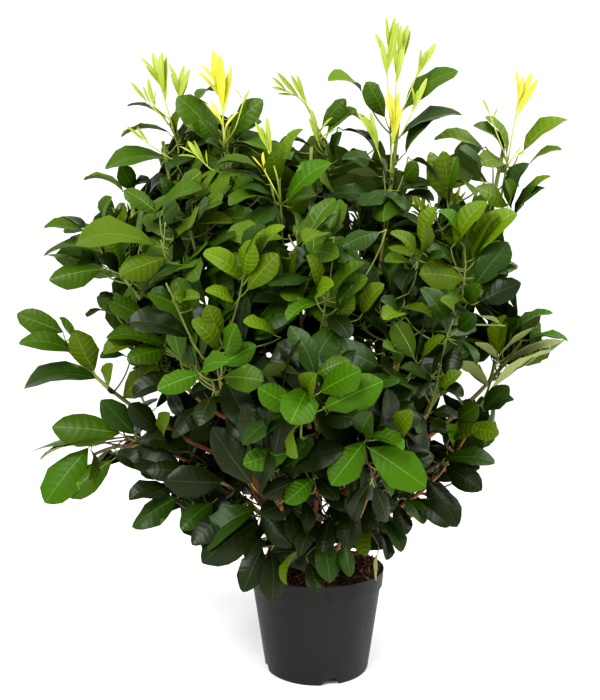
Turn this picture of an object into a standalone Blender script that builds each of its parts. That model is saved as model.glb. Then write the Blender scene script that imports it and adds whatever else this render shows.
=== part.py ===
# Potted cherry laurel: nursery container, root ball, stems, boughs and masses of foliage.
# Metres, +Z up, origin at the centre of the container's underside, seen from -Y.

import math

import bmesh
import bpy
import numpy as np
from mathutils import Vector
from mathutils.bvhtree import BVHTree

# Container
POT_HEIGHT = 0.190
RIM_RADIUS = 0.1305
RIM_CHAMFER = 0.0008
BAND_HEIGHT = 0.032
BAND_FOOT_RADIUS = 0.1270
BAND_STEP = 0.0030
WALL_TOP_RADIUS = 0.1240
WALL = 0.0020
FOOT_RADIUS = 0.0990
FOOT_ROUND = 0.0040
FOOT_WIDTH = 0.0030
BASE_LIFT = 0.0145
BOSS_RADIUS = 0.0450
BOSS_SLOPE = 0.0080
POT_STEPS = 40

# Drain notches in the foot
NOTCH_COUNT = 4
NOTCH_FOOT_WIDTH = 0.033
NOTCH_TOP_WIDTH = 0.020
NOTCH_HEIGHT = 0.0125
NOTCH_BEARING = math.radians(13.6)
NOTCH_DEPTH = 0.024

# Root ball
SOIL_EDGE_HEIGHT = 0.184
SOIL_TOP = 0.196
SOIL_FLAT_RADIUS = 0.072
SOIL_SHOULDER = 0.5
SOIL_STEPS = 32

# Clearance between pieces that touch
GAP = 0.0003

# Limbs
TUBE_SIDES = 8
STEM_POINTS = 8
BOUGH_POINTS = 6
FOOT_RISE = 0.012
STEM_TIP_RADIUS = 0.0035
BOUGH_FOOT_RADIUS = 0.0050
BOUGH_TIP_RADIUS = 0.0030
BOUGH_REACH = 0.62
BOUGH_RISE = 0.22
SAMPLES_PER_PIECE = 14
ENTRY_DEPTH = 0.012
LIMB_CLEARANCE = 0.0025

# Masses
MASS_SEGMENTS = 11
MASS_RINGS = 7
MASS_GROWTH = 0.0005
BUMP_HEIGHT = 0.11
BUMP_WAVES = 5
PEAK_WIDTH = 0.36
SEED = 41

# Each stem: foot (x, y), knee (x, y, z) that it bends towards, radius at the foot, mass at its tip
STEMS = {
    "left": ((-0.040, -0.012), (-0.220, -0.010, 0.500), 0.0080, "top_left"),
    "left_centre": ((-0.016, 0.016), (-0.105, 0.025, 0.560), 0.0072, "top_left_centre"),
    "centre": ((0.000, -0.024), (-0.025, -0.012, 0.560), 0.0068, "top_centre"),
    "right_centre": ((0.022, 0.012), (0.095, 0.020, 0.470), 0.0072, "top_right_centre"),
    "right": ((0.042, -0.012), (0.260, -0.012, 0.460), 0.0080, "top_right"),
    "back": ((0.004, 0.046), (0.010, 0.170, 0.520), 0.0070, "back_high"),
}

# Each mass: centre (x, y, z), half sizes (x, y, z), furthest tip from the centre (x, y, z)
MASSES = {
    "top_left": ((-0.305, 0.030, 1.025), (0.092, 0.105, 0.100), (0.005, 0.000, 0.166)),
    "top_left_centre": ((-0.178, -0.040, 1.030), (0.090, 0.110, 0.108), (-0.018, 0.000, 0.150)),
    "top_centre": ((-0.010, 0.000, 1.005), (0.125, 0.130, 0.105), (-0.034, 0.000, 0.140)),
    "top_right_centre": ((0.160, -0.005, 1.060), (0.115, 0.120, 0.115), (-0.008, 0.000, 0.201)),
    "top_right": ((0.368, 0.010, 1.010), (0.118, 0.110, 0.095), (0.036, 0.000, 0.146)),
    "left_high": ((-0.415, 0.000, 0.825), (0.115, 0.130, 0.100), (-0.120, 0.000, 0.015)),
    "front_high_left": ((-0.225, -0.150, 0.825), (0.115, 0.110, 0.130), (-0.020, -0.110, 0.050)),
    "front_high_centre": ((-0.035, -0.180, 0.780), (0.112, 0.120, 0.120), (0.000, -0.120, 0.060)),
    "right_high": ((0.262, -0.060, 0.800), (0.135, 0.150, 0.145), (0.080, -0.080, 0.070)),
    "left_shoot": ((-0.492, 0.000, 0.620), (0.085, 0.070, 0.085), (-0.094, 0.000, 0.035)),
    "left_middle": ((-0.325, 0.020, 0.650), (0.110, 0.140, 0.125), (-0.080, 0.060, 0.070)),
    "front_mid_left": ((-0.175, -0.200, 0.610), (0.105, 0.115, 0.130), (-0.030, -0.120, 0.040)),
    "front_centre": ((-0.005, -0.300, 0.560), (0.105, 0.090, 0.085), (0.020, -0.085, 0.050)),
    "front_mid_right": ((0.140, -0.205, 0.625), (0.120, 0.125, 0.135), (0.040, -0.110, 0.050)),
    "right_shoot": ((0.400, 0.000, 0.630), (0.088, 0.090, 0.080), (0.0925, 0.000, -0.005)),
    "left_low_shoot": ((-0.430, -0.010, 0.408), (0.120, 0.062, 0.082), (-0.123, 0.000, -0.002)),
    "low_left": ((-0.240, -0.060, 0.345), (0.110, 0.110, 0.085), (-0.080, -0.050, -0.045)),
    "front_low_right": ((0.090, -0.270, 0.440), (0.095, 0.095, 0.070), (0.030, -0.090, 0.020)),
    "front_low_left": ((-0.080, -0.255, 0.415), (0.080, 0.095, 0.075), (-0.020, -0.090, 0.020)),
    "right_low": ((0.290, -0.010, 0.445), (0.080, 0.110, 0.110), (0.065, -0.030, 0.040)),
    "low_right": ((0.195, -0.080, 0.335), (0.080, 0.110, 0.065), (0.065, -0.040, -0.005)),
    "skirt_left": ((-0.145, -0.100, 0.262), (0.100, 0.080, 0.072), (-0.050, -0.050, -0.060)),
    "skirt_front": ((0.040, -0.145, 0.278), (0.110, 0.080, 0.068), (0.060, -0.050, -0.060)),
    "back_low_left": ((-0.195, 0.190, 0.390), (0.130, 0.130, 0.125), (-0.100, 0.080, -0.040)),
    "back_low_right": ((0.165, 0.200, 0.380), (0.130, 0.130, 0.125), (0.100, 0.080, -0.040)),
    "back_mid_left": ((-0.150, 0.260, 0.640), (0.155, 0.120, 0.130), (-0.060, 0.120, 0.060)),
    "back_mid_right": ((0.165, 0.250, 0.645), (0.155, 0.120, 0.130), (0.060, 0.120, 0.060)),
    "back_high_left": ((-0.160, 0.170, 0.860), (0.130, 0.120, 0.110), (-0.030, 0.080, 0.110)),
    "back_high": ((0.090, 0.190, 0.900), (0.130, 0.125, 0.120), (0.020, 0.080, 0.120)),
}

# Each bough: the stem it leaves, how far up that stem's path (0 to 1); it ends in its mass
BOUGHS = {
    "left_high": ("left", 0.62),
    "front_high_left": ("left_centre", 0.50),
    "front_high_centre": ("centre", 0.42),
    "right_high": ("right", 0.60),
    "left_shoot": ("left", 0.36),
    "left_middle": ("left", 0.47),
    "front_mid_left": ("left", 0.26),
    "front_centre": ("centre", 0.20),
    "front_mid_right": ("right_centre", 0.30),
    "right_shoot": ("right", 0.42),
    "left_low_shoot": ("left", 0.19),
    "low_left": ("left", 0.145),
    "front_low_right": ("right_centre", 0.14),
    "front_low_left": ("centre", 0.150),
    "right_low": ("right", 0.24),
    "low_right": ("right", 0.12),
    "skirt_left": ("left", 0.085),
    "skirt_front": ("centre", 0.085),
    "back_low_left": ("back", 0.10),
    "back_low_right": ("back", 0.15),
    "back_mid_left": ("left_centre", 0.30),
    "back_mid_right": ("right_centre", 0.38),
    "back_high_left": ("left_centre", 0.60),
}

# Boughs whose bend isn't the usual one: the point (x, y, z) that they bend towards
BENDS = {
    "left_low_shoot": (-0.290, -0.020, 0.480),
    "left_shoot": (-0.360, -0.005, 0.470),
    "right_shoot": (0.330, 0.000, 0.520),
}

# Colours (linear red, green, blue), roughness
POT_LOOK = ((0.032, 0.031, 0.029), 0.62)
SOIL_LOOK = ((0.040, 0.019, 0.008), 0.95)
STEM_LOOK = ((0.130, 0.052, 0.022), 0.60)
BOUGH_LOOK = ((0.150, 0.130, 0.030), 0.55)
LEAF_DARK = (0.020, 0.055, 0.010)
LEAF_LIGHT = (0.100, 0.190, 0.020)
LEAF_ROUGHNESS = 0.40


def clear_scene():
    for item in list(bpy.data.objects):
        bpy.data.objects.remove(item)


def make_collection(name):
    group = bpy.data.collections.new(name)
    bpy.context.scene.collection.children.link(group)
    return group


def make_material(name, colour, roughness):
    material = bpy.data.materials.new(name)
    material.use_nodes = True
    shader = material.node_tree.nodes["Principled BSDF"]
    shader.inputs["Base Color"].default_value = (*colour, 1.0)
    shader.inputs["Roughness"].default_value = roughness
    shader.inputs["Metallic"].default_value = 0.0
    return material


def add_object(name, mesh, group, material=None):
    item = bpy.data.objects.new(name, mesh)
    group.objects.link(item)
    if material:
        mesh.materials.append(material)
    return item


def add_cutter(name, mesh, group):
    item = add_object(name, mesh, group)
    item.hide_render = True
    item.display_type = "WIRE"
    return item


def cut(item, cutter):
    modifier = item.modifiers.new("cut " + cutter.name, "BOOLEAN")
    modifier.operation = "DIFFERENCE"
    modifier.solver = "EXACT"
    modifier.object = cutter


def turned(name, profile, steps, group, material):
    """A profile of (radius, height) points from the inner axis round to the outer axis, turned about Z."""
    mesh = bpy.data.meshes.new(name)
    points = [(radius, 0.0, height) for radius, height in profile]
    edges = [(index, index + 1) for index in range(len(points) - 1)]
    mesh.from_pydata(points, edges, [])
    item = add_object(name, mesh, group, material)
    screw = item.modifiers.new("turn", "SCREW")
    screw.axis = "Z"
    screw.angle = 2.0 * math.pi
    screw.steps = steps
    screw.render_steps = steps
    screw.use_merge_vertices = True
    screw.merge_threshold = 0.00001
    screw.use_smooth_shade = True
    return item


def wall_radius(height):
    """Outer radius of the container's tapering wall at a height, below the rim band."""
    share = height / (POT_HEIGHT - BAND_HEIGHT)
    return FOOT_RADIUS + (WALL_TOP_RADIUS - FOOT_RADIUS) * share


def inner_profile(offset):
    """The container's inside from the axis up to the rim, moved inwards by an offset."""
    floor = WALL + offset
    shelf = BASE_LIFT + WALL + offset
    band_foot = POT_HEIGHT - BAND_HEIGHT
    inset = WALL + offset
    return [
        (0.0, floor),
        (BOSS_RADIUS - inset, floor),
        (BOSS_RADIUS + BOSS_SLOPE - inset, shelf),
        (wall_radius(shelf) - inset, shelf),
        (wall_radius(band_foot - BAND_STEP) - inset, band_foot - BAND_STEP),
        (BAND_FOOT_RADIUS - inset, band_foot),
    ]


def build_pot(group, cutters, material):
    inner = inner_profile(0.0)
    inner.append((RIM_RADIUS - WALL, POT_HEIGHT))
    outer = [
        (RIM_RADIUS - RIM_CHAMFER, POT_HEIGHT),
        (RIM_RADIUS, POT_HEIGHT - RIM_CHAMFER),
        (BAND_FOOT_RADIUS, POT_HEIGHT - BAND_HEIGHT),
        (wall_radius(POT_HEIGHT - BAND_HEIGHT - BAND_STEP), POT_HEIGHT - BAND_HEIGHT - BAND_STEP),
        (wall_radius(FOOT_ROUND), FOOT_ROUND),
        (FOOT_RADIUS - FOOT_ROUND * 0.3, FOOT_ROUND * 0.3),
        (FOOT_RADIUS - FOOT_ROUND * 0.55, 0.0),
        (FOOT_RADIUS - FOOT_ROUND * 0.55 - FOOT_WIDTH, 0.0),
        (FOOT_RADIUS - FOOT_ROUND * 0.55 - FOOT_WIDTH, BASE_LIFT),
        (BOSS_RADIUS + BOSS_SLOPE, BASE_LIFT),
        (BOSS_RADIUS, 0.0),
        (0.0, 0.0),
    ]
    pot = turned("pot", inner + outer, POT_STEPS, group, material)
    for number in range(NOTCH_COUNT):
        cut(pot, notch_cutter(number, cutters))
    return pot


def notch_cutter(number, cutters):
    """A tapering block across the foot ring, narrower at its top, on the notch's bearing."""
    mesh = bpy.data.meshes.new("notch_%d" % number)
    block = bmesh.new()
    bmesh.ops.create_cube(block, size=1.0)
    bearing = NOTCH_BEARING + number * 2.0 * math.pi / NOTCH_COUNT
    outward = Vector((math.sin(bearing), -math.cos(bearing), 0.0))
    along = Vector((math.cos(bearing), math.sin(bearing), 0.0))
    middle = FOOT_RADIUS - FOOT_WIDTH
    slope = (NOTCH_FOOT_WIDTH - NOTCH_TOP_WIDTH) / NOTCH_HEIGHT
    for vertex in block.verts:
        side, depth, level = vertex.co * 2.0
        height = NOTCH_HEIGHT * level
        width = NOTCH_TOP_WIDTH + slope * (NOTCH_HEIGHT - height)
        place = outward * (middle - depth * NOTCH_DEPTH / 2.0) + along * (side * width / 2.0)
        vertex.co = (place.x, place.y, height)
    block.to_mesh(mesh)
    block.free()
    return add_cutter("notch_%d" % number, mesh, cutters)


def build_soil(group, material):
    """The root ball: the container's inside less the clearance, under a low mound with a flat top."""
    profile = inner_profile(GAP * 1.5)
    edge = RIM_RADIUS - (POT_HEIGHT - SOIL_EDGE_HEIGHT) / BAND_HEIGHT * (RIM_RADIUS - BAND_FOOT_RADIUS)
    edge -= WALL + GAP * 1.5
    shoulder = SOIL_FLAT_RADIUS + (edge - SOIL_FLAT_RADIUS) * SOIL_SHOULDER
    crest = SOIL_EDGE_HEIGHT + (SOIL_TOP - SOIL_EDGE_HEIGHT) * 0.8
    outer = profile[1:] + [(edge, SOIL_EDGE_HEIGHT), (shoulder, crest), (SOIL_FLAT_RADIUS, SOIL_TOP)]
    path = [(0.0, SOIL_TOP)] + outer[::-1] + [profile[0]]
    return turned("soil", path, SOIL_STEPS, group, material)


def bend(start, knee, end, count, amounts=None):
    """Points on the parabola that leaves start towards knee and arrives at end from it."""
    share = np.linspace(0.0, 1.0, count) if amounts is None else np.asarray(amounts)
    share = share[:, None]
    start, knee, end = np.asarray(start), np.asarray(knee), np.asarray(end)
    return (1.0 - share) ** 2 * start + 2.0 * share * (1.0 - share) * knee + share ** 2 * end


def stem_path(name):
    """A stem's points and radii: a short upright foot, then one bend to the centre of its mass."""
    foot, knee, radius, mass = STEMS[name]
    ground = (foot[0], foot[1], SOIL_TOP + GAP)
    rise = (foot[0], foot[1], SOIL_TOP + GAP + FOOT_RISE)
    points = np.vstack([[ground], bend(rise, knee, MASSES[mass][0], STEM_POINTS)])
    radii = np.concatenate([[radius], np.linspace(radius, STEM_TIP_RADIUS, STEM_POINTS)])
    return points, radii


def along(path, share):
    """The point and radius at a share of a path, counted over its pieces."""
    points, radii = path
    place = share * (len(points) - 1)
    index = min(int(place), len(points) - 2)
    part = place - index
    point = points[index] * (1.0 - part) + points[index + 1] * part
    return point, radii[index] * (1.0 - part) + radii[index + 1] * part


def bough_path(name, stems):
    """A bough's points and radii: from its stem's axis outwards, then up into its mass."""
    parent, share = BOUGHS[name]
    start, parent_radius = along(stems[parent], share)
    end = np.array(MASSES[name][0])
    knee = start + (end - start) * BOUGH_REACH
    knee[2] = start[2] + (end[2] - start[2]) * BOUGH_RISE
    knee = np.array(BENDS.get(name, knee))
    points = bend(start, knee, end, BOUGH_POINTS)
    foot_radius = min(BOUGH_FOOT_RADIUS, parent_radius * 0.8)
    radii = np.linspace(foot_radius, min(BOUGH_TIP_RADIUS, foot_radius), BOUGH_POINTS)
    return points, radii


def ending_in(path, mesh):
    """A path cut off a little way inside the solid that it enters, so that it ends there."""
    tree = BVHTree.FromPolygons([v.co for v in mesh.vertices], [p.vertices for p in mesh.polygons])
    points, radii = path
    for index in range(len(points) - 1):
        step = Vector(points[index + 1] - points[index])
        hit, _, _, distance = tree.ray_cast(Vector(points[index]), step.normalized(), step.length)
        if hit is None:
            continue
        reach = (distance + ENTRY_DEPTH) / step.length
        end = points[index] + np.array(step) * reach
        radius = radii[index] + (radii[index + 1] - radii[index]) * min(reach, 1.0)
        return np.vstack([points[:index + 1], [end]]), np.append(radii[:index + 1], radius)
    return path


def tube_mesh(name, path, growth=0.0):
    """A closed tapering tube on a path, its radius grown by an allowance."""
    points, radii = path
    curve = bpy.data.curves.new(name, "CURVE")
    curve.dimensions = "3D"
    curve.bevel_depth = 1.0
    curve.bevel_resolution = (TUBE_SIDES - 4) // 2
    curve.use_fill_caps = True
    spline = curve.splines.new("POLY")
    spline.points.add(len(points) - 1)
    for slot, point, radius in zip(spline.points, points, radii):
        slot.co = (*point, 1.0)
        slot.radius = radius + growth
    guide = bpy.data.objects.new(name, curve)
    bpy.context.scene.collection.objects.link(guide)
    view = bpy.context.evaluated_depsgraph_get()
    mesh = bpy.data.meshes.new_from_object(guide.evaluated_get(view))
    mesh.transform(guide.matrix_world)
    bpy.data.objects.remove(guide)
    bpy.data.curves.remove(curve)
    body = bmesh.new()
    body.from_mesh(mesh)
    bmesh.ops.remove_doubles(body, verts=body.verts, dist=0.00001)
    body.to_mesh(mesh)
    body.free()
    mesh.name = name
    return mesh


def dense(path):
    """Points and radii along every straight piece of a path, close enough to stand for the limb."""
    points, radii = path
    share = np.linspace(0.0, 1.0, SAMPLES_PER_PIECE, endpoint=False)[:, None]
    spots = [points[:-1][i] * (1.0 - share) + points[1:][i] * share for i in range(len(points) - 1)]
    sizes = [radii[i] * (1.0 - share[:, 0]) + radii[i + 1] * share[:, 0] for i in range(len(points) - 1)]
    return np.vstack(spots + [points[-1:]]), np.concatenate(sizes + [radii[-1:]])


def pot_guard():
    """Points round the rim and over the root ball that foliage stays clear of."""
    turn = np.linspace(0.0, 2.0 * math.pi, 48, endpoint=False)
    rings = []
    for radius, height in ((RIM_RADIUS, POT_HEIGHT), (SOIL_FLAT_RADIUS, SOIL_TOP), (0.0, SOIL_TOP)):
        ring = np.stack([radius * np.sin(turn), -radius * np.cos(turn), np.full(turn.shape, height)], 1)
        rings.append(ring)
    points = np.vstack(rings)
    return points, np.full(len(points), 0.0)


def mass_size(name, direction):
    """Distance from a mass's centre to its plain ellipsoid along a direction."""
    half = np.array(MASSES[name][1])
    return 1.0 / np.linalg.norm(direction / half, axis=-1)


def neighbour_planes(name):
    """Planes halfway, by size, between a mass and each other mass: (normal, distance) pairs."""
    centre = np.array(MASSES[name][0])
    planes = []
    for other in MASSES:
        if other == name:
            continue
        step = np.array(MASSES[other][0]) - centre
        distance = np.linalg.norm(step)
        normal = step / distance
        own = mass_size(name, normal)
        theirs = mass_size(other, normal)
        planes.append((normal, distance * own / (own + theirs) - GAP / 2.0))
    return planes


def guard_plane(centre, reach, guard, clearance):
    """The plane that keeps a mass clear of the near part of a limb or of the container."""
    points, radii = guard
    steps = points - centre
    distances = np.linalg.norm(steps, axis=1)
    near = distances - radii < reach
    if not near.any():
        return None
    closest = np.argmin(distances - radii)
    normal = steps[closest] / distances[closest]
    return normal, float(np.min(steps[near] @ normal - radii[near])) - clearance


def bumps(directions, number):
    """Soft unevenness over a mass: a few sine waves across it, each with its own seeded direction."""
    chance = np.random.default_rng(SEED + number)
    total = np.zeros(len(directions))
    for wave in range(BUMP_WAVES):
        axis = chance.normal(size=3)
        axis /= np.linalg.norm(axis)
        total += np.sin(directions @ axis * (3.0 + wave) + chance.uniform(0.0, 2.0 * math.pi))
    return 1.0 + BUMP_HEIGHT * total / math.sqrt(BUMP_WAVES)


def mass_radii(name, number, directions, guards):
    """Distance from the centre to the skin of a mass along each direction."""
    centre, half, tip = (np.array(value) for value in MASSES[name])
    radii = mass_size(name, directions) * bumps(directions, number)
    peak = np.linalg.norm(tip)
    toward = tip / peak
    turn = np.arccos(np.clip(directions @ toward, -1.0, 1.0))
    lobe = np.exp(-(turn / PEAK_WIDTH) ** 2)
    radii = radii * (1.0 - lobe) + peak * lobe
    planes = neighbour_planes(name)
    for guard, clearance in guards:
        plane = guard_plane(centre, radii.max(), guard, clearance)
        if plane:
            planes.append(plane)
    for normal, distance in planes:
        facing = directions @ normal
        limit = distance / np.maximum(facing, 0.001)
        radii = np.where(facing > 0.001, np.minimum(radii, limit), radii)
    return radii


def mass_mesh(name, number, guards, growth=0.0):
    """A closed uneven solid about a mass's centre, its pole on the furthest tip."""
    mesh = bpy.data.meshes.new("mass_" + name)
    body = bmesh.new()
    bmesh.ops.create_uvsphere(body, u_segments=MASS_SEGMENTS, v_segments=MASS_RINGS, radius=1.0)
    bmesh.ops.triangulate(body, faces=body.faces)
    body.to_mesh(mesh)
    body.free()
    places = np.empty(len(mesh.vertices) * 3)
    mesh.vertices.foreach_get("co", places)
    tip = Vector(MASSES[name][2]).normalized()
    turn = np.array(Vector((0.0, 0.0, 1.0)).rotation_difference(tip).to_matrix())
    directions = places.reshape(-1, 3) @ turn.T
    directions /= np.linalg.norm(directions, axis=1)[:, None]
    radii = mass_radii(name, number, directions, guards) + growth
    skin = np.array(MASSES[name][0]) + directions * radii[:, None]
    mesh.vertices.foreach_set("co", skin.ravel())
    mesh.update()
    return mesh


def leaf_material(name, number):
    """Leaf green, lighter towards the top and the front of the plant."""
    centre = MASSES[name][0]
    share = min(1.0, max(0.0, (centre[2] - 0.25) / 0.8))
    colour = [dark + (light - dark) * share for dark, light in zip(LEAF_DARK, LEAF_LIGHT)]
    return make_material("leaves_%02d" % number, colour, LEAF_ROUGHNESS)


def build_plant(group, cutters):
    stems = {name: stem_path(name) for name in STEMS}
    boughs = {name: bough_path(name, stems) for name in BOUGHS}
    growth = GAP / math.cos(math.pi / TUBE_SIDES)
    grown_masses = {}
    for number, name in enumerate(MASSES):
        guards = [(pot_guard(), LIMB_CLEARANCE)]
        for stem, path in stems.items():
            if STEMS[stem][3] != name:
                guards.append((dense(path), LIMB_CLEARANCE))
        for bough, path in boughs.items():
            if bough != name:
                guards.append((dense(path), LIMB_CLEARANCE))
        add_object("mass_" + name, mass_mesh(name, number, guards), group, leaf_material(name, number))
        grown = mass_mesh(name, number, guards, MASS_GROWTH)
        grown_masses[name] = add_cutter("grown_mass_" + name, grown, cutters)
    grown_stems = {}
    for name, path in stems.items():
        material = make_material("stem_bark_" + name, *STEM_LOOK)
        mass = grown_masses[STEMS[name][3]]
        path = ending_in(path, mass.data)
        stem = add_object("stem_" + name, tube_mesh("stem_" + name, path), group, material)
        cut(stem, mass)
        grown = tube_mesh("grown_stem_" + name, path, growth)
        grown_stems[name] = add_cutter("grown_stem_" + name, grown, cutters)
    for name, path in boughs.items():
        material = make_material("bough_bark_" + name, *BOUGH_LOOK)
        path = ending_in(path, grown_masses[name].data)
        bough = add_object("bough_" + name, tube_mesh("bough_" + name, path), group, material)
        cut(bough, grown_stems[BOUGHS[name][0]])
        cut(bough, grown_masses[name])


def build():
    clear_scene()
    group = make_collection("potted_cherry_laurel")
    cutters = make_collection("cutters")
    build_pot(group, cutters, make_material("pot_plastic", *POT_LOOK))
    build_soil(group, make_material("soil_mulch", *SOIL_LOOK))
    build_plant(group, cutters)


build()
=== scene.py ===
import math

import bpy
import numpy as np
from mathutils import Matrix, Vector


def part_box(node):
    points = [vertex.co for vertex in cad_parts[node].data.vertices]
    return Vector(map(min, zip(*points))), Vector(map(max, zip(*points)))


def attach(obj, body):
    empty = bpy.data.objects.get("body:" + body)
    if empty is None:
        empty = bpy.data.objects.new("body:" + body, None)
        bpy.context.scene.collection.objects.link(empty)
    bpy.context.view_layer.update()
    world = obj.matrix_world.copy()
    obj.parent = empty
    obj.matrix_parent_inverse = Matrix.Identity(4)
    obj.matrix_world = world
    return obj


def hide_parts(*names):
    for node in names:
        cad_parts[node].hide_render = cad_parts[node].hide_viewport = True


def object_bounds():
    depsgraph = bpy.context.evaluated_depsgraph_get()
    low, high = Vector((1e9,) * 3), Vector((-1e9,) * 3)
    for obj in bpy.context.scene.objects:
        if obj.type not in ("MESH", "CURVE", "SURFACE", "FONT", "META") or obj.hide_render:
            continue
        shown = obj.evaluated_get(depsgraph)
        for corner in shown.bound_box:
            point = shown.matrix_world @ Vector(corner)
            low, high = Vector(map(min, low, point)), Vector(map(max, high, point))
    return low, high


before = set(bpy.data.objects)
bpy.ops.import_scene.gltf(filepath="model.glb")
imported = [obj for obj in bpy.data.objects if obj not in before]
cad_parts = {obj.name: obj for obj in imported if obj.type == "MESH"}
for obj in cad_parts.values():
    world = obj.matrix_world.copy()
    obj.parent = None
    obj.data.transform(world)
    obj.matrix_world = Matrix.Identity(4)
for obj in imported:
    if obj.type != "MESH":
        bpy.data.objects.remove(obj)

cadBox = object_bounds()
chance = np.random.default_rng(11)


# Shared helpers

def hexColour(code):  # sRGB hex to linear red, green, blue, alpha
    part = np.array([int(code[i:i + 2], 16) for i in (1, 3, 5)]) / 255.0
    part = np.where(part <= 0.04045, part / 12.92, ((part + 0.055) / 1.055) ** 2.4)
    return (*[float(value) for value in part], 1.0)


def addNode(tree, kind, values=None, links=None, **settings):
    node = tree.nodes.new(kind)
    for name, value in settings.items():
        setattr(node, name, value)
    for name, value in (values or {}).items():
        node.inputs[name].default_value = value
    for name, source in (links or {}).items():
        tree.links.new(source, node.inputs[name])
    return node


def newMaterial(name, colour, roughness, **sockets):
    material = bpy.data.materials.new(name)
    material.use_nodes = True
    shader = material.node_tree.nodes["Principled BSDF"]
    shader.inputs["Base Color"].default_value = hexColour(colour)
    shader.inputs["Roughness"].default_value = roughness
    for socket, value in sockets.items():
        shader.inputs[socket].default_value = value
    return material, material.node_tree, shader


def unit(vectors):
    vectors = np.asarray(vectors, float)
    return vectors / np.maximum(np.linalg.norm(vectors, axis=-1, keepdims=True), 1e-9)


def buildPiece(name, points, faceSets, materials, slotSets=None, uv=None, smooth=True):
    # one mesh from a point array and lists of same-sized faces, each set with its slot numbers
    mesh = bpy.data.meshes.new(name)
    loops = np.concatenate([faces.ravel() for faces in faceSets]).astype(np.int32)
    sizes = np.concatenate([np.full(len(faces), faces.shape[1]) for faces in faceSets]).astype(np.int32)
    mesh.vertices.add(len(points))
    mesh.vertices.foreach_set("co", np.ascontiguousarray(points, np.float32).ravel())
    mesh.loops.add(len(loops))
    mesh.loops.foreach_set("vertex_index", loops)
    mesh.polygons.add(len(sizes))
    mesh.polygons.foreach_set("loop_start", np.concatenate([[0], np.cumsum(sizes)[:-1]]).astype(np.int32))
    mesh.update(calc_edges=True)
    for material in materials:
        mesh.materials.append(material)
    if slotSets is not None:
        mesh.polygons.foreach_set("material_index", np.concatenate(slotSets).astype(np.int32))
    if uv is not None:
        layer = mesh.uv_layers.new(name="surface")
        layer.data.foreach_set("uv", uv[loops].astype(np.float32).ravel())
    mesh.polygons.foreach_set("use_smooth", np.full(len(sizes), smooth))
    mesh.validate()
    item = bpy.data.objects.new(name, mesh)
    bpy.context.scene.collection.objects.link(item)
    return item


def place(item, slot, *nodes):
    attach(item, "root")
    if nodes:
        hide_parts(*nodes)
    print("made", item.name, len(item.data.polygons), "faces")
    return item


def ringFaces(rings, sides, count):
    # quads between neighbouring rings of count separate tubes, and the fans that close both ends
    ring, side = np.meshgrid(np.arange(rings - 1), np.arange(sides), indexing="ij")
    after = (side + 1) % sides
    quads = np.stack([ring * sides + side, ring * sides + after,
                      (ring + 1) * sides + after, (ring + 1) * sides + side], -1).reshape(-1, 4)
    fan = np.arange(1, sides - 1)
    low = np.stack([np.zeros_like(fan), fan + 1, fan], -1)
    high = np.stack([np.zeros_like(fan), fan, fan + 1], -1) + (rings - 1) * sides
    step = (np.arange(count) * rings * sides)[:, None, None]
    return (quads + step).reshape(-1, 4), (np.concatenate([low, high]) + step).reshape(-1, 3)


def tubePoints(lines, radii, sides):
    # rings round many centre lines at once: each ring lies across its line's direction
    along = unit(np.gradient(lines, axis=1))
    level = np.where(np.abs(along[:, :1, 2:]) < 0.9, [0.0, 0.0, 1.0], [1.0, 0.0, 0.0])
    across = unit(np.cross(along, level))
    other = np.cross(along, across)
    turn = np.linspace(0.0, 2.0 * math.pi, sides, endpoint=False)
    spokes = across[:, :, None] * np.cos(turn)[None, None, :, None]
    spokes = spokes + other[:, :, None] * np.sin(turn)[None, None, :, None]
    return lines[:, :, None] + spokes * radii[:, :, None, None], turn


def bend(start, knee, end, share):
    # a parabola that leaves start towards knee and arrives at end from it
    share = np.asarray(share, float)[:, None]
    start, knee, end = (np.asarray(spot, float) for spot in (start, knee, end))
    return (1 - share) ** 2 * start + 2 * share * (1 - share) * knee + share ** 2 * end


# Camera, light and floor, at the photograph's viewing angle

view = {
    "place": (-0.0322, -1.42, 0.610),  # metres: level, a little left of the container
    "focal": 728.0,                    # pixels, for a picture 700 pixels high
    "frameHeight": 700.0,
    "frameMiddle": (300.0, 350.0),
    "sensor": 36.0,
    "floor": "#fbfbfa",
    "sky": 1.0,
    "keyPower": 95.0, "keySize": 1.4, "keyPlace": (-1.3, -2.2, 2.7),
    "topPower": 60.0, "topSize": 1.6, "topPlace": (1.7, -0.6, 2.6),
}

camera = bpy.data.objects.new("camera", bpy.data.cameras.new("camera"))
bpy.context.scene.collection.objects.link(camera)
camera.location = view["place"]
camera.rotation_euler = (math.radians(90.0), 0.0, 0.0)
camera.data.sensor_width = view["sensor"]
camera.data.lens = view["focal"] / view["frameHeight"] * view["sensor"]
bpy.context.scene.camera = camera
bpy.context.scene.view_settings.view_transform = "Standard"
bpy.context.scene.view_settings.look = "Medium High Contrast"


def addLamp(name, spot, power, size):
    lamp = bpy.data.lights.new(name, "AREA")
    lamp.energy = power
    lamp.size = size
    item = bpy.data.objects.new(name, lamp)
    item.location = spot
    aim = np.array([0.0, 0.0, 0.7]) - np.array(spot)
    flat = math.hypot(aim[0], aim[1])
    item.rotation_euler = (math.atan2(flat, -aim[2]), 0.0, math.atan2(aim[1], aim[0]) - math.pi / 2)
    bpy.context.scene.collection.objects.link(item)


addLamp("keySoftbox", view["keyPlace"], view["keyPower"], view["keySize"])
addLamp("topSoftbox", view["topPlace"], view["topPower"], view["topSize"])
world = bpy.data.worlds.new("studio")
bpy.context.scene.world = world
world.use_nodes = True
world.node_tree.nodes["Background"].inputs["Color"].default_value = (1.0, 1.0, 1.0, 1.0)
world.node_tree.nodes["Background"].inputs["Strength"].default_value = view["sky"]

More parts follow.
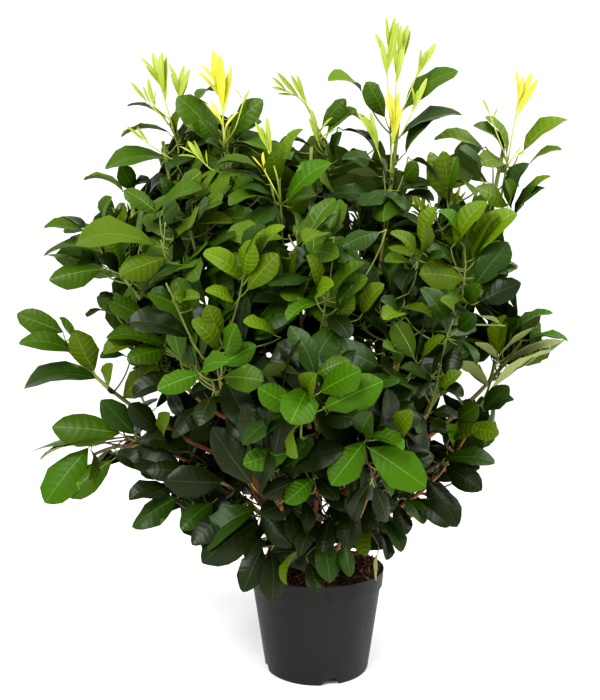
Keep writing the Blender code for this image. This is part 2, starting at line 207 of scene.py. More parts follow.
floorPoints = np.array([[x, y, 0.0] for x, y in ((-30, -30), (30, -30), (30, 30), (-30, 30))])
floorMaterial = newMaterial("paleFloorPaint", view["floor"], 0.9)[0]
floor = buildPiece("floor", floorPoints, [np.array([[0, 1, 2, 3]])], [floorMaterial], smooth=False)
print("stage ready")


def photoSpot(pixel, depth):
    # the point that the camera shows at a pixel, at a distance behind the container's axis
    reach = depth - view["place"][1]
    across = (pixel[0] - view["frameMiddle"][0]) / view["focal"] * reach
    down = (pixel[1] - view["frameMiddle"][1]) / view["focal"] * reach
    return np.array([view["place"][0] + across, depth, view["place"][2] - down])


# Container

pot = {
    "height": 0.190, "rim": 0.1305, "band": 0.032, "bandFoot": 0.1270, "step": 0.0030,
    "wallTop": 0.1240, "wall": 0.0020, "foot": 0.0990, "footRound": 0.0040, "ringWidth": 0.0030,
    "lift": 0.0145, "boss": 0.045, "bossSlope": 0.008, "lip": 0.0011,
    "notches": 4, "notchFoot": 0.033, "notchTop": 0.020, "notchHeight": 0.0125, "notchBearing": 13.6,
    "segments": 288, "colour": "#151310",
}


def arc(centre, radius, first, last, count):
    # count points on a circle in the profile's plane, angles in degrees from outwards
    turn = np.radians(np.linspace(first, last, count))
    return np.stack([centre[0] + radius * np.cos(turn), centre[1] + radius * np.sin(turn)], 1)


def wallAt(height):
    share = height / (pot["height"] - pot["band"])
    return pot["foot"] + (pot["wallTop"] - pot["foot"]) * share


def potProfile():
    # (radius, height) from the inside of the base up over the rim, down the wall and in under the foot
    p = pot
    bandFoot = p["height"] - p["band"]
    shelf = p["lift"] + p["wall"]
    inner = [(p["boss"] - p["wall"], p["wall"]), (p["boss"] + p["bossSlope"] - p["wall"], shelf)]
    inner += [(wallAt(shelf) - p["wall"], shelf)]
    inner += [(wallAt(h) - p["wall"], h) for h in np.linspace(0.04, bandFoot - p["step"], 4)]
    inner += [(p["bandFoot"] - p["wall"], bandFoot)]
    rim = arc((p["rim"] - p["lip"], p["height"] - p["lip"]), p["lip"], 170.0, 0.0, 9)
    band = [(p["bandFoot"] + 0.0006, bandFoot + 0.0022)]
    under = arc((p["bandFoot"] - 0.0008, bandFoot + 0.0018), 0.0014, -10.0, -80.0, 5)
    top = bandFoot - p["step"]
    wall = [(wallAt(top) + 0.0004, top + 0.0012)]
    wall += [(wallAt(h), h) for h in np.linspace(top, 0.012, 14)]
    foot = arc((wallAt(0.004) - p["footRound"], p["footRound"]), p["footRound"], -8.0, -90.0, 7)
    edge = wallAt(0.004) - p["footRound"] - p["ringWidth"]
    ring = [(edge + 0.0006, 0.0), (edge, 0.0006), (edge - 0.0004, p["lift"] - 0.001)]
    ring += [(edge - 0.0015, p["lift"])]
    base = [(p["boss"] + p["bossSlope"] + 0.001, p["lift"]), (p["boss"] + 0.0012, 0.0008)]
    base += [(p["boss"] - 0.0008, 0.0), (0.012, 0.0)]
    return np.vstack([inner, rim, band, under, wall, foot, ring, base])


def turned(profile, segments):
    # a profile carried round Z: rings of points, then one point for each pole
    turn = np.linspace(0.0, 2.0 * math.pi, segments, endpoint=False)
    rings = np.stack([profile[:, :1] * np.sin(turn), -profile[:, :1] * np.cos(turn),
                      np.repeat(profile[:, 1:], segments, 1)], -1)
    return rings, turn


def closedTurned(rings, profile):
    count, segments = rings.shape[:2]
    points = np.vstack([rings.reshape(-1, 3), [[0, 0, profile[0, 1]]], [[0, 0, profile[-1, 1]]]])
    ring, side = np.meshgrid(np.arange(count - 1), np.arange(segments), indexing="ij")
    after = (side + 1) % segments
    quads = np.stack([ring * segments + side, (ring + 1) * segments + side,
                      (ring + 1) * segments + after, ring * segments + after], -1).reshape(-1, 4)
    side = np.arange(segments)
    after = (side + 1) % segments
    last = (count - 1) * segments
    first = np.full(segments, count * segments)
    tips = [np.stack([first, side, after], -1), np.stack([first + 1, last + after, last + side], -1)]
    return points, quads, np.concatenate(tips)


def notchLift(turn):
    # height of the foot's lower edge round the container: a trapezoid at each drain notch
    spacing = 2.0 * math.pi / pot["notches"]
    away = (turn - math.radians(pot["notchBearing"]) + spacing / 2) % spacing - spacing / 2
    reach = np.abs(away) * pot["foot"]
    slope = (pot["notchFoot"] - pot["notchTop"]) / 2.0
    return pot["notchHeight"] * np.clip((pot["notchFoot"] / 2 - reach) / slope, 0.0, 1.0)


def blackPolypropylene():
    # black polypropylene, injection moulded, satin: recycled pigment gives it a brownish cast,
    # and a fine spark-eroded grain of 0.6 mm with faint upright flow bands dulls its shine
    material, tree, shader = newMaterial("blackPolypropylene", pot["colour"], 0.47)
    shader.inputs["Specular IOR Level"].default_value = 0.26
    place = addNode(tree, "ShaderNodeTexCoord")
    stretch = addNode(tree, "ShaderNodeMapping", {"Scale": (1.0, 1.0, 0.06)},
                      {"Vector": place.outputs["Object"]})
    bands = addNode(tree, "ShaderNodeTexNoise", {"Scale": 55.0, "Detail": 2.0},
                    {"Vector": stretch.outputs["Vector"]})
    shade = addNode(tree, "ShaderNodeMapRange", {"From Min": 0.3, "From Max": 0.7,
                    "To Min": 0.41, "To Max": 0.55}, {"Value": bands.outputs["Fac"]})
    tree.links.new(shade.outputs["Result"], shader.inputs["Roughness"])
    grain = addNode(tree, "ShaderNodeTexNoise", {"Scale": 1700.0, "Detail": 2.0},
                    {"Vector": place.outputs["Object"]})
    relief = addNode(tree, "ShaderNodeBump", {"Strength": 0.12, "Distance": 0.0004},
                     {"Height": grain.outputs["Fac"]})
    tree.links.new(relief.outputs["Normal"], shader.inputs["Normal"])
    return material


def makePot():
    profile = potProfile()
    rings, turn = turned(profile, pot["segments"])
    lift = notchLift(turn)
    ceiling = pot["lift"] - 0.0005
    outside = profile[:, :1] > pot["boss"] + pot["bossSlope"] + 0.01
    low = outside & (rings[:, :, 2] < ceiling)
    raised = lift[None, :] + rings[:, :, 2] * (1.0 - lift[None, :] / ceiling)
    rings[:, :, 2] = np.where(low, raised, rings[:, :, 2])
    points, quads, tips = closedTurned(rings, profile)
    item = buildPiece("nurseryContainer", points, [quads, tips], [blackPolypropylene()])
    item.data.set_sharp_from_angle(angle=math.radians(50.0))
    return place(item, "pot_plastic", "pot")


makePot()


# Root ball and the bark mulch on it

soil = {
    "edge": 0.1815, "top": 0.190, "rings": 26, "segments": 96, "bottom": 0.020,
    "mound": (0.098, 0.020, 0.014, 0.045),  # x, y, height and spread of the mulch piled at the right
    "chips": 1500, "chipLength": (0.005, 0.017), "chipWidth": 0.34, "chipThick": 0.16,
    "colour": "#2a1d12",
    "chipColours": ("#4a2c17", "#6b3d1e", "#8a5428", "#37231a", "#a87a4a"),
    "chipShares": (0.34, 0.25, 0.14, 0.22, 0.05),
}


def soilHeight(x, y):
    # a low dome, the pile at the right and gentle lumps
    radius = np.hypot(x, y)
    dome = soil["top"] - (soil["top"] - soil["edge"]) * (radius / 0.127) ** 2
    px, py, high, wide = soil["mound"]
    pile = high * np.exp(-((x - px) ** 2 + (y - py) ** 2) / wide ** 2)
    lumps = 0.0012 * np.sin(x * 190 + 1.0) * np.sin(y * 170) + 0.0008 * np.sin(x * 410) * np.sin(y * 370 + 2)
    return dome + pile + lumps


def pottingSoil():
    # peat and composted bark, moist and crumbly: nearly black brown with crumbs of 2 to 6 mm
    material, tree, shader = newMaterial("moistPottingSoil", soil["colour"], 0.95)
    place = addNode(tree, "ShaderNodeTexCoord")
    crumbs = addNode(tree, "ShaderNodeTexNoise", {"Scale": 260.0, "Detail": 5.0},
                     {"Vector": place.outputs["Object"]})
    relief = addNode(tree, "ShaderNodeBump", {"Strength": 0.9, "Distance": 0.003},
                     {"Height": crumbs.outputs["Fac"]})
    tree.links.new(relief.outputs["Normal"], shader.inputs["Normal"])
    return material


def makeSoil():
    radii = np.linspace(0.004, 0.1262, soil["rings"])
    profile = np.stack([radii, np.zeros_like(radii)], 1)
    rings, turn = turned(profile, soil["segments"])
    rings[:, :, 2] = soilHeight(rings[:, :, 0], rings[:, :, 1])
    lower = np.array([(0.1225, 0.160), (0.112, 0.090), (0.1, 0.030), (0.06, soil["bottom"])])
    under, turn = turned(lower, soil["segments"])
    whole = np.concatenate([rings, under])
    profile = np.vstack([[[0.0, float(rings[0, :, 2].mean())]], lower[-1:]])
    points, quads, tips = closedTurned(whole, profile)
    item = buildPiece("rootBall", points, [quads, tips], [pottingSoil()])
    return place(item, "soil_mulch", "soil")


def makeMulch():
    # bark chips: short flattened tubes of four uneven rings, lying where they fell
    count = soil["chips"]
    shareOut = np.sqrt(chance.uniform(0.0, 1.0, count))
    turn = chance.uniform(0.0, 2.0 * math.pi, count)
    x = shareOut * 0.1235 * np.cos(turn)
    y = shareOut * 0.1235 * np.sin(turn)
    size = chance.uniform(*soil["chipLength"], count)
    along = np.linspace(-0.5, 0.5, 4)
    swell = np.array([0.55, 1.0, 0.9, 0.4])
    turnRing = np.linspace(0.0, 2.0 * math.pi, 5, endpoint=False)
    wide = soil["chipWidth"] * chance.uniform(0.6, 1.2, (count, 4, 5)) * swell[None, :, None]
    thick = soil["chipThick"] * chance.uniform(0.6, 1.2, (count, 4, 5)) * swell[None, :, None]
    local = np.stack([np.broadcast_to(along[None, :, None], wide.shape) + chance.normal(0, 0.05, wide.shape),
                      wide * np.cos(turnRing) * 0.5, thick * np.sin(turnRing) * 0.5], -1)
    local = local * size[:, None, None, None]
    heading = chance.uniform(0.0, 2.0 * math.pi, count)
    pitch = chance.normal(0.0, 0.35, count)
    axis = np.stack([np.cos(heading) * np.cos(pitch), np.sin(heading) * np.cos(pitch), np.sin(pitch)], -1)
    side = unit(np.cross(axis, chance.normal([0, 0, 1], 0.35, (count, 3))))
    lift = np.cross(side, axis)
    centre = np.stack([x, y, soilHeight(x, y) + chance.uniform(0.0, 0.0035, count)], -1)
    points = centre[:, None, None] + local[..., :1] * axis[:, None, None]
    points = points + local[..., 1:2] * side[:, None, None] + local[..., 2:] * lift[:, None, None]
    quads, tips = ringFaces(4, 5, count)
    kind = chance.choice(len(soil["chipColours"]), count, p=soil["chipShares"])
    slots = [np.repeat(kind, len(quads) // count), np.repeat(kind, len(tips) // count)]
    # composted pine bark, chipped: matt, split along its fibres, pale where freshly broken
    looks = [newMaterial("pineBarkChip%d" % i, c, 0.9)[0] for i, c in enumerate(soil["chipColours"])]
    item = buildPiece("barkMulch", points.reshape(-1, 3), [quads, tips], looks, slots, smooth=False)
    return place(item, "soil_mulch")


makeSoil()
makeMulch()


# Stems and boughs: the same paths as the frame's limbs, carried on into the foliage

limb = {
    "soilTop": 0.1963, "rise": 0.012, "stemTip": 0.0035, "boughFoot": 0.0050, "boughTip": 0.0030,
    "reach": 0.62, "climb": 0.22, "rings": 72, "sides": 14, "nodeSpacing": 0.034,
}
stemSizes = {  # foot (x, y), knee (x, y, z), radius at the foot, mass at the tip
    "left": ((-0.040, -0.012), (-0.220, -0.010, 0.500), 0.0080, "top_left"),
    "left_centre": ((-0.016, 0.016), (-0.105, 0.025, 0.560), 0.0072, "top_left_centre"),
    "centre": ((0.000, -0.024), (-0.025, -0.012, 0.560), 0.0068, "top_centre"),
    "right_centre": ((0.022, 0.012), (0.095, 0.020, 0.470), 0.0072, "top_right_centre"),
    "right": ((0.042, -0.012), (0.260, -0.012, 0.460), 0.0080, "top_right"),
    "back": ((0.004, 0.046), (0.010, 0.170, 0.520), 0.0070, "back_high"),
}
boughParents = {  # the stem that each bough leaves, and how far up that stem's path
    "left_high": ("left", 0.62), "front_high_left": ("left_centre", 0.50),
    "front_high_centre": ("centre", 0.42), "right_high": ("right", 0.60),
    "left_shoot": ("left", 0.36), "left_middle": ("left", 0.47),
    "front_mid_left": ("left", 0.26), "front_centre": ("centre", 0.20),
    "front_mid_right": ("right_centre", 0.30), "right_shoot": ("right", 0.42),
    "left_low_shoot": ("left", 0.19), "low_left": ("left", 0.145),
    "front_low_right": ("right_centre", 0.14), "front_low_left": ("centre", 0.150),
    "right_low": ("right", 0.24), "low_right": ("right", 0.12),
    "skirt_left": ("left", 0.085), "skirt_front": ("centre", 0.085),
    "back_low_left": ("back", 0.10), "back_low_right": ("back", 0.15),
    "back_mid_left": ("left_centre", 0.30), "back_mid_right": ("right_centre", 0.38),
    "back_high_left": ("left_centre", 0.60),
}
boughKnees = {
    "left_low_shoot": (-0.290, -0.020, 0.480), "left_shoot": (-0.360, -0.005, 0.470),
    "right_shoot": (0.330, 0.000, 0.520),
}
massCentres = {
    "top_left": (-0.305, 0.030, 1.025), "top_left_centre": (-0.178, -0.040, 1.030),
    "top_centre": (-0.010, 0.000, 1.005), "top_right_centre": (0.160, -0.005, 1.060),
    "top_right": (0.368, 0.010, 1.010), "left_high": (-0.415, 0.000, 0.825),
    "front_high_left": (-0.225, -0.150, 0.825), "front_high_centre": (-0.035, -0.180, 0.780),
    "right_high": (0.262, -0.060, 0.800), "left_shoot": (-0.492, 0.000, 0.620),
    "left_middle": (-0.325, 0.020, 0.650), "front_mid_left": (-0.175, -0.200, 0.610),
    "front_centre": (-0.005, -0.300, 0.560), "front_mid_right": (0.140, -0.205, 0.625),
    "right_shoot": (0.400, 0.000, 0.630), "left_low_shoot": (-0.430, -0.010, 0.408),
    "low_left": (-0.240, -0.060, 0.345), "front_low_right": (0.090, -0.270, 0.440),
    "front_low_left": (-0.080, -0.255, 0.415), "right_low": (0.290, -0.010, 0.445),
    "low_right": (0.195, -0.080, 0.335), "skirt_left": (-0.145, -0.100, 0.262),
    "skirt_front": (0.040, -0.145, 0.278), "back_low_left": (-0.195, 0.190, 0.390),
    "back_low_right": (0.165, 0.200, 0.380), "back_mid_left": (-0.150, 0.260, 0.640),
    "back_mid_right": (0.165, 0.250, 0.645), "back_high_left": (-0.160, 0.170, 0.860),
    "back_high": (0.090, 0.190, 0.900),
}


def limbPaths():
    # every stem's and bough's centre line and radii, by the mass that it carries
    share = np.linspace(0.0, 1.0, limb["rings"])
    lines, radii, stemLines = {}, {}, {}
    for name, (foot, knee, radius, mass) in stemSizes.items():
        ground = np.array([foot[0], foot[1], limb["soilTop"] - 0.012])
        start = (foot[0], foot[1], limb["soilTop"] + limb["rise"])
        line = bend(start, knee, massCentres[mass], share[1:])
        lines[mass] = np.vstack([[ground], line])
        flare = 1.0 + 0.35 * np.exp(-(lines[mass][:, 2] - limb["soilTop"]) / 0.02)
        radii[mass] = (radius + (limb["stemTip"] - radius) * share) * np.minimum(flare, 1.35)
        stemLines[name] = (start, knee, massCentres[mass], radius)
    for mass, (parent, along) in boughParents.items():
        first, knee, last, radius = stemLines[parent]
        pieces = 8.0  # the frame's stems count their upright foot as one piece of eight
        place = along * pieces
        share0 = max(0.0, (place - 1.0) / (pieces - 1.0))
        start = bend(first, knee, last, [share0])[0]
        start[2] -= limb["rise"] * max(0.0, 1.0 - place)
        end = np.array(massCentres[mass])
        turn = start + (end - start) * limb["reach"]
        turn[2] = start[2] + (end[2] - start[2]) * limb["climb"]
        lines[mass] = bend(start, boughKnees.get(mass, turn), end, share)
        radii[mass] = limb["boughFoot"] + (limb["boughTip"] - limb["boughFoot"]) * share
    return lines, radii


limbLines, limbRadii = limbPaths()


def barkOfLaurel():
    # cherry laurel bark, smooth and thin: orange brown near the soil, greener upwards where it is
    # young, with pale breathing pores about 2 mm long across the stem
    material, tree, shader = newMaterial("smoothLaurelBark", "#6f4524", 0.55)
    age = addNode(tree, "ShaderNodeAttribute", attribute_name="age")
    place = addNode(tree, "ShaderNodeTexCoord")
    patches = addNode(tree, "ShaderNodeTexNoise", {"Scale": 60.0, "Detail": 4.0},
                      {"Vector": place.outputs["Object"]})
    mixed = addNode(tree, "ShaderNodeMath", {1: 0.35}, {0: patches.outputs["Fac"]}, operation="MULTIPLY")
    total = addNode(tree, "ShaderNodeMath", None,
                    {0: age.outputs["Fac"], 1: mixed.outputs["Value"]}, operation="ADD")
    ramp = addNode(tree, "ShaderNodeValToRGB", None, {"Fac": total.outputs["Value"]})
    stops = ((0.12, "#5d3517"), (0.45, "#8a5426"), (0.75, "#76682c"), (1.0, "#6f7f2e"))
    band = ramp.color_ramp
    for position, code in stops[1:-1]:
        band.elements.new(position)
    for element, (position, code) in zip(band.elements, stops):
        element.position = position
        element.color = hexColour(code)
    tree.links.new(ramp.outputs["Color"], shader.inputs["Base Color"])
    pores = addNode(tree, "ShaderNodeTexNoise", {"Scale": 420.0, "Detail": 3.0},
                    {"Vector": place.outputs["Object"]})
    relief = addNode(tree, "ShaderNodeBump", {"Strength": 0.5, "Distance": 0.0008},
                     {"Height": pores.outputs["Fac"]})
    tree.links.new(relief.outputs["Normal"], shader.inputs["Normal"])
    return material


def makeLimbs():
    # each ring swells at the leaf scars and ripples along the bark
    names = list(limbLines)
    lines = np.stack([limbLines[name] for name in names])
    radii = np.stack([limbRadii[name] for name in names])
    points, turn = tubePoints(lines, radii, limb["sides"])
    length = np.concatenate([np.zeros((len(names), 1)),
                             np.cumsum(np.linalg.norm(np.diff(lines, axis=1), axis=2), 1)], 1)
    phase = length / limb["nodeSpacing"] + np.arange(len(names))[:, None] * 0.37
    scar = np.exp(-((phase - np.round(phase)) / 0.10) ** 2)
    side = np.cos(turn[None, None] - np.round(phase)[:, :, None] * 2.51)
    ripple = np.sin(turn * 3 + lines[..., 2:3] * 90) * 0.5 + np.sin(turn * 5 - lines[..., 2:3] * 210) * 0.3
    swell = 1.0 + 0.05 * ripple + 0.20 * scar[..., None] * np.clip(side, 0.0, 1.0)
    points = lines[:, :, None] + (points - lines[:, :, None]) * swell[..., None]
    quads, tips = ringFaces(lines.shape[1], limb["sides"], len(names))
    item = buildPiece("stemsAndBoughs", points.reshape(-1, 3), [quads, tips], [barkOfLaurel()])
    outwards = np.clip((np.hypot(lines[..., 0], lines[..., 1]) - 0.18) / 0.22, 0.0, 1.0)
    height = np.clip((lines[..., 2] - 0.22) / 0.62, 0.0, 1.0) ** 1.2 * 0.8 + 0.4 * outwards
    item.data.attributes.new("age", "FLOAT", "POINT")
    item.data.attributes["age"].data.foreach_set("value", np.repeat(height, limb["sides"]).astype(np.float32))
    nodes = ["stem_" + name for name in stemSizes] + ["bough_" + name for name in boughParents]
    return place(item, "stem_bark", *nodes)


makeLimbs()


# Leaves

leaf = {
    "rows": (0.0, 0.08, 0.22, 0.40, 0.58, 0.74, 0.87, 0.96, 1.0),
    "rib": 0.05, "ribWidest": 0.0006, "thickness": 0.0013, "veins": 8.0, "veinLean": 2.0, "uneven": 0.06, "ripple": 0.10,
    "length": (0.100, 0.134), "width": (0.43, 0.53), "petiole": 0.012, "widestAt": (0.50, 0.63),
}
# base colours by tint: upper side, midrib, underside; the undersides are paler, partly their own colour and partly
# painted light shining through the blade
tints = {
    "dark": ("#172304", "#2c3a0c", "#33421a"),
    "deep": ("#233a04", "#405911", "#465520"),
    "mid": ("#385104", "#5a7818", "#4f682a"),
    "bright": ("#385a02", "#5c8416", "#557428"),
    "olive": ("#475b06", "#68791c", "#566b2b"),
    "light": ("#536a06", "#74881f", "#617830"),
    "pale": ("#435a0e", "#959d5a", "#888e57"),
    "young": ("#82940e", "#a3aa3c", "#8a9c12"),
    "yellow": ("#a9a612", "#bdb84a", "#a9a612"),
}
tintNames = list(tints)
# roughness, shine and vein relief of the old leaves' upper sides, then of the others and the undersides
leafSheens = {"dark": (0.35, 0.17, 0.15), "deep": (0.38, 0.16, 0.18), "mid": (0.40, 0.13, 0.28)}
leafSheen, underSheen = (0.42, 0.11, 0.40), (0.62, 0.10, 0.40)
newTints = ("young", "yellow")


def laurelLeaf(name, colour, roughness, shine, veinRelief):
    # cherry laurel leaf, leathery with a waxy cuticle: the eye gets a soft sheen, and side veins
    # every 14 mm that leave the midrib and lean to the tip: the height is the size of a sine of
    # length and width, so that the blade swells between one narrow vein and the next
    material, tree, shader = newMaterial(name, colour, roughness)
    shader.inputs["Specular IOR Level"].default_value = shine
    place = addNode(tree, "ShaderNodeUVMap", uv_map="surface")
    axes = addNode(tree, "ShaderNodeSeparateXYZ", None, {"Vector": place.outputs["UV"]})
    side = addNode(tree, "ShaderNodeMath", {1: 0.5}, {0: axes.outputs["X"]}, operation="SUBTRACT")
    away = addNode(tree, "ShaderNodeMath", None, {0: side.outputs["Value"]}, operation="ABSOLUTE")
    lean = addNode(tree, "ShaderNodeMath", {1: -leaf["veinLean"] * math.pi},
                   {0: away.outputs["Value"]}, operation="MULTIPLY")
    phase = addNode(tree, "ShaderNodeMath", {1: leaf["veins"] * math.pi},
                    {0: axes.outputs["Y"], 2: lean.outputs["Value"]}, operation="MULTIPLY_ADD")
    wave = addNode(tree, "ShaderNodeMath", None, {0: phase.outputs["Value"]}, operation="SINE")
    swell = addNode(tree, "ShaderNodeMath", None, {0: wave.outputs["Value"]}, operation="ABSOLUTE")
    relief = addNode(tree, "ShaderNodeBump", {"Strength": veinRelief, "Distance": 0.0016},
                     {"Height": swell.outputs["Value"]})
    tree.links.new(relief.outputs["Normal"], shader.inputs["Normal"])
    return material


def newLeaf(name, colour):
    # new leaves, thin and soft, still without quilting: smooth and only a little shiny
    return newMaterial(name, colour, 0.5)[0]


def leafMaterials():
    looks = []
    for tint in tintNames:
        upper, rib, under = tints[tint]
        if tint in newTints:
            looks += [newLeaf("newLeaf" + part + tint.title(), colour)
                      for part, colour in (("Upper", upper), ("Rib", rib), ("Under", under))]
            continue
        looks.append(laurelLeaf("leafUpper" + tint.title(), upper, *leafSheens.get(tint, leafSheen)))
        looks.append(newMaterial("leafRib" + tint.title(), rib, 0.5)[0])
        looks.append(laurelLeaf("leafUnder" + tint.title(), under, *underSheen))
    return looks


def leafOutline(share, top):
    # half width along the blade: a quarter sine up to the widest place, then a round end with a short point
    foot = np.sin(0.5 * math.pi * np.clip(share / top, 0.0, 1.0)) ** 0.90
    end = (1.0 - np.clip((share - top) / (1.0 - top), 0.0, 1.0) ** 2.1) ** 0.70
    return np.maximum(np.where(share < top, foot, end), 0.04)


def leafPoints(base, tip, upper, width, arch, fold, curl, wave, twist, widest):
    # every blade at once: the midrib is an arc from base to tip, each row across it a shallow V of
    # two curved halves; six points of a row lie on the upper side and one on the lower
    rows = np.array(leaf["rows"])
    chord = tip - base
    length = np.linalg.norm(chord, axis=1)
    along = chord / length[:, None]
    upper = unit(upper - along * np.sum(upper * along, 1)[:, None])
    side = np.cross(along, upper)
    angle = arch[:, None] * (0.5 - rows[None, :] ** 1.2)
    middle = (angle[:, 1:] + angle[:, :-1]) / 2
    step = np.diff(rows)[None, :]
    run = np.concatenate([np.zeros((len(base), 1)), np.cumsum(np.cos(middle) * step, 1)], 1)
    climb = np.concatenate([np.zeros((len(base), 1)), np.cumsum(np.sin(middle) * step, 1)], 1)
    stretch = 1.0 / np.hypot(run[:, -1], climb[:, -1])
    settle = np.arctan2(climb[:, -1], run[:, -1])
    run, climb = run * stretch[:, None], climb * stretch[:, None]
    cs, sn = np.cos(-settle)[:, None], np.sin(-settle)[:, None]
    run, climb = run * cs - climb * sn, run * sn + climb * cs
    angle = angle - settle[:, None]
    outline = leafOutline(rows[None, :], widest[:, None])
    half = outline * width[:, None] * length[:, None] / 2
    rib = np.minimum(leaf["rib"] * half, leaf["ribWidest"] * (1.1 - rows[None, :] * 0.7))
    across = np.stack([-half, -0.55 * half, -rib, rib, 0.55 * half, half, 0.0 * half], -1)
    away = np.abs(across) / half[..., None]
    left = 1.0 + leaf["uneven"] * np.sin(rows[None, :] * 17.0 + wave[:, None])
    right = 1.0 + leaf["uneven"] * np.sin(rows[None, :] * 21.0 + 2.0 * wave[:, None])
    across = across * np.where(across < 0.0, left[..., None], right[..., None])
    rise = np.abs(across) * np.sin(fold)[:, None, None] - curl[:, None, None] * half[..., None] * away ** 2
    ripple = leaf["ripple"] * np.sin(rows[None, :] * 10.0 + wave[:, None]) * half
    rise = rise + ripple[..., None] * away ** 2 * np.sign(across)
    drop = np.zeros(7)
    drop[[2, 3]] = 0.0003
    drop[6] = leaf["thickness"]
    rise = rise - drop * np.minimum(1.0, half / 0.004)[..., None]
    roll = twist[:, None] * (rows[None, :] - 0.3)
    cr, sr = np.cos(roll)[..., None], np.sin(roll)[..., None]
    across, rise = across * cr - rise * sr, across * sr + rise * cr
    lengths = length[:, None, None]
    x = run[..., None] * lengths - rise * np.sin(angle)[..., None]
    z = climb[..., None] * lengths + rise * np.cos(angle)[..., None]
    points = base[:, None, None] + x[..., None] * along[:, None, None]
    points = points + across[..., None] * side[:, None, None] + z[..., None] * upper[:, None, None]
    sideways = np.array([-1.0, -0.55, -0.06, 0.06, 0.55, 1.0, 0.0])[None, None]
    place = np.stack([0.5 + 0.5 * sideways * outline[..., None] + 0 * across,
                      np.broadcast_to(rows[None, :, None], across.shape)], -1)
    return points, place


def leafFaces(count):
    # quads round the seven points of each row, and one small face at each end
    rows = len(leaf["rows"])
    row, side = np.meshgrid(np.arange(rows - 1), np.arange(7), indexing="ij")
    after = (side + 1) % 7
    quads = np.stack([row * 7 + side, row * 7 + after, (row + 1) * 7 + after, (row + 1) * 7 + side], -1)
    kinds = np.array([0, 0, 1, 0, 0, 2, 2])[side].reshape(-1)
    caps = np.stack([np.arange(7)[::-1], np.arange(7) + (rows - 1) * 7])
    step = (np.arange(count) * rows * 7)[:, None, None]
    return (quads.reshape(-1, 4) + step).reshape(-1, 4), (caps + step).reshape(-1, 7), kinds


grown = {"blade": [], "shoot": [], "stalk": []}  # everything that grows, gathered before meshing


def addLeaf(root, base, tip, upper, tint, width=None, arch=None, fold=None, curl=None):
    pick = chance.uniform
    width = pick(*leaf["width"]) if width is None else width
    arch = pick(0.45, 1.35) if arch is None else arch
    fold = pick(0.12, 0.45) if fold is None else fold
    curl = pick(0.20, 0.50) if curl is None else curl
    grown["blade"].append((base, tip, upper, width, arch, fold, curl, pick(0.0, 6.28),
                           chance.normal(0.0, 0.22), pick(*leaf["widestAt"]), tintNames.index(tint)))
    grown["stalk"].append((root, base, 0.0006 if tint in newTints else 0.0011, tint))


def addShoot(line, thick, thin, look):
    if look == "greenTwig" and line[0][2] + line[-1][2] < 0.95:
        look = "lowTwig"
    grown["shoot"].append((line, thick, thin, look))


def shootLine(start, end, lean=0.5):
    # a shoot that leaves outwards and turns up towards its tip
    start, end = np.asarray(start, float), np.asarray(end, float)
    knee = start + (end - start) * np.array([0.75, 0.75, 0.5 - 0.4 * lean])
    return bend(start, knee, end, np.linspace(0.0, 1.0, 9))


def pathThrough(spots):
    # nine points along a line through the spots, its corners rounded
    spots = np.asarray(spots, float)
    steps = np.concatenate([[0.0], np.cumsum(np.linalg.norm(np.diff(spots, axis=0), axis=1))])
    where = np.linspace(0.0, steps[-1], 9)
    line = np.stack([np.interp(where, steps, spots[:, axis]) for axis in range(3)], 1)
    line[1:-1] = line[1:-1] * 0.5 + (line[2:] + line[:-2]) * 0.25
    return line


def pathSpot(line, share):
    place = min(max(share, 0.0), 1.0) * (len(line) - 1)
    index = min(int(place), len(line) - 2)
    part = place - index
    return line[index] * (1 - part) + line[index + 1] * part, unit(line[index + 1] - line[index])


def toPixels(spots):
    # where the camera shows points, in the photograph's pixels
    reach = spots[:, 1] - view["place"][1]
    across = view["frameMiddle"][0] + view["focal"] * (spots[:, 0] - view["place"][0]) / reach
    down = view["frameMiddle"][1] - view["focal"] * (spots[:, 2] - view["place"][2]) / reach
    return np.stack([across, down], 1)


print("growing rules ready")
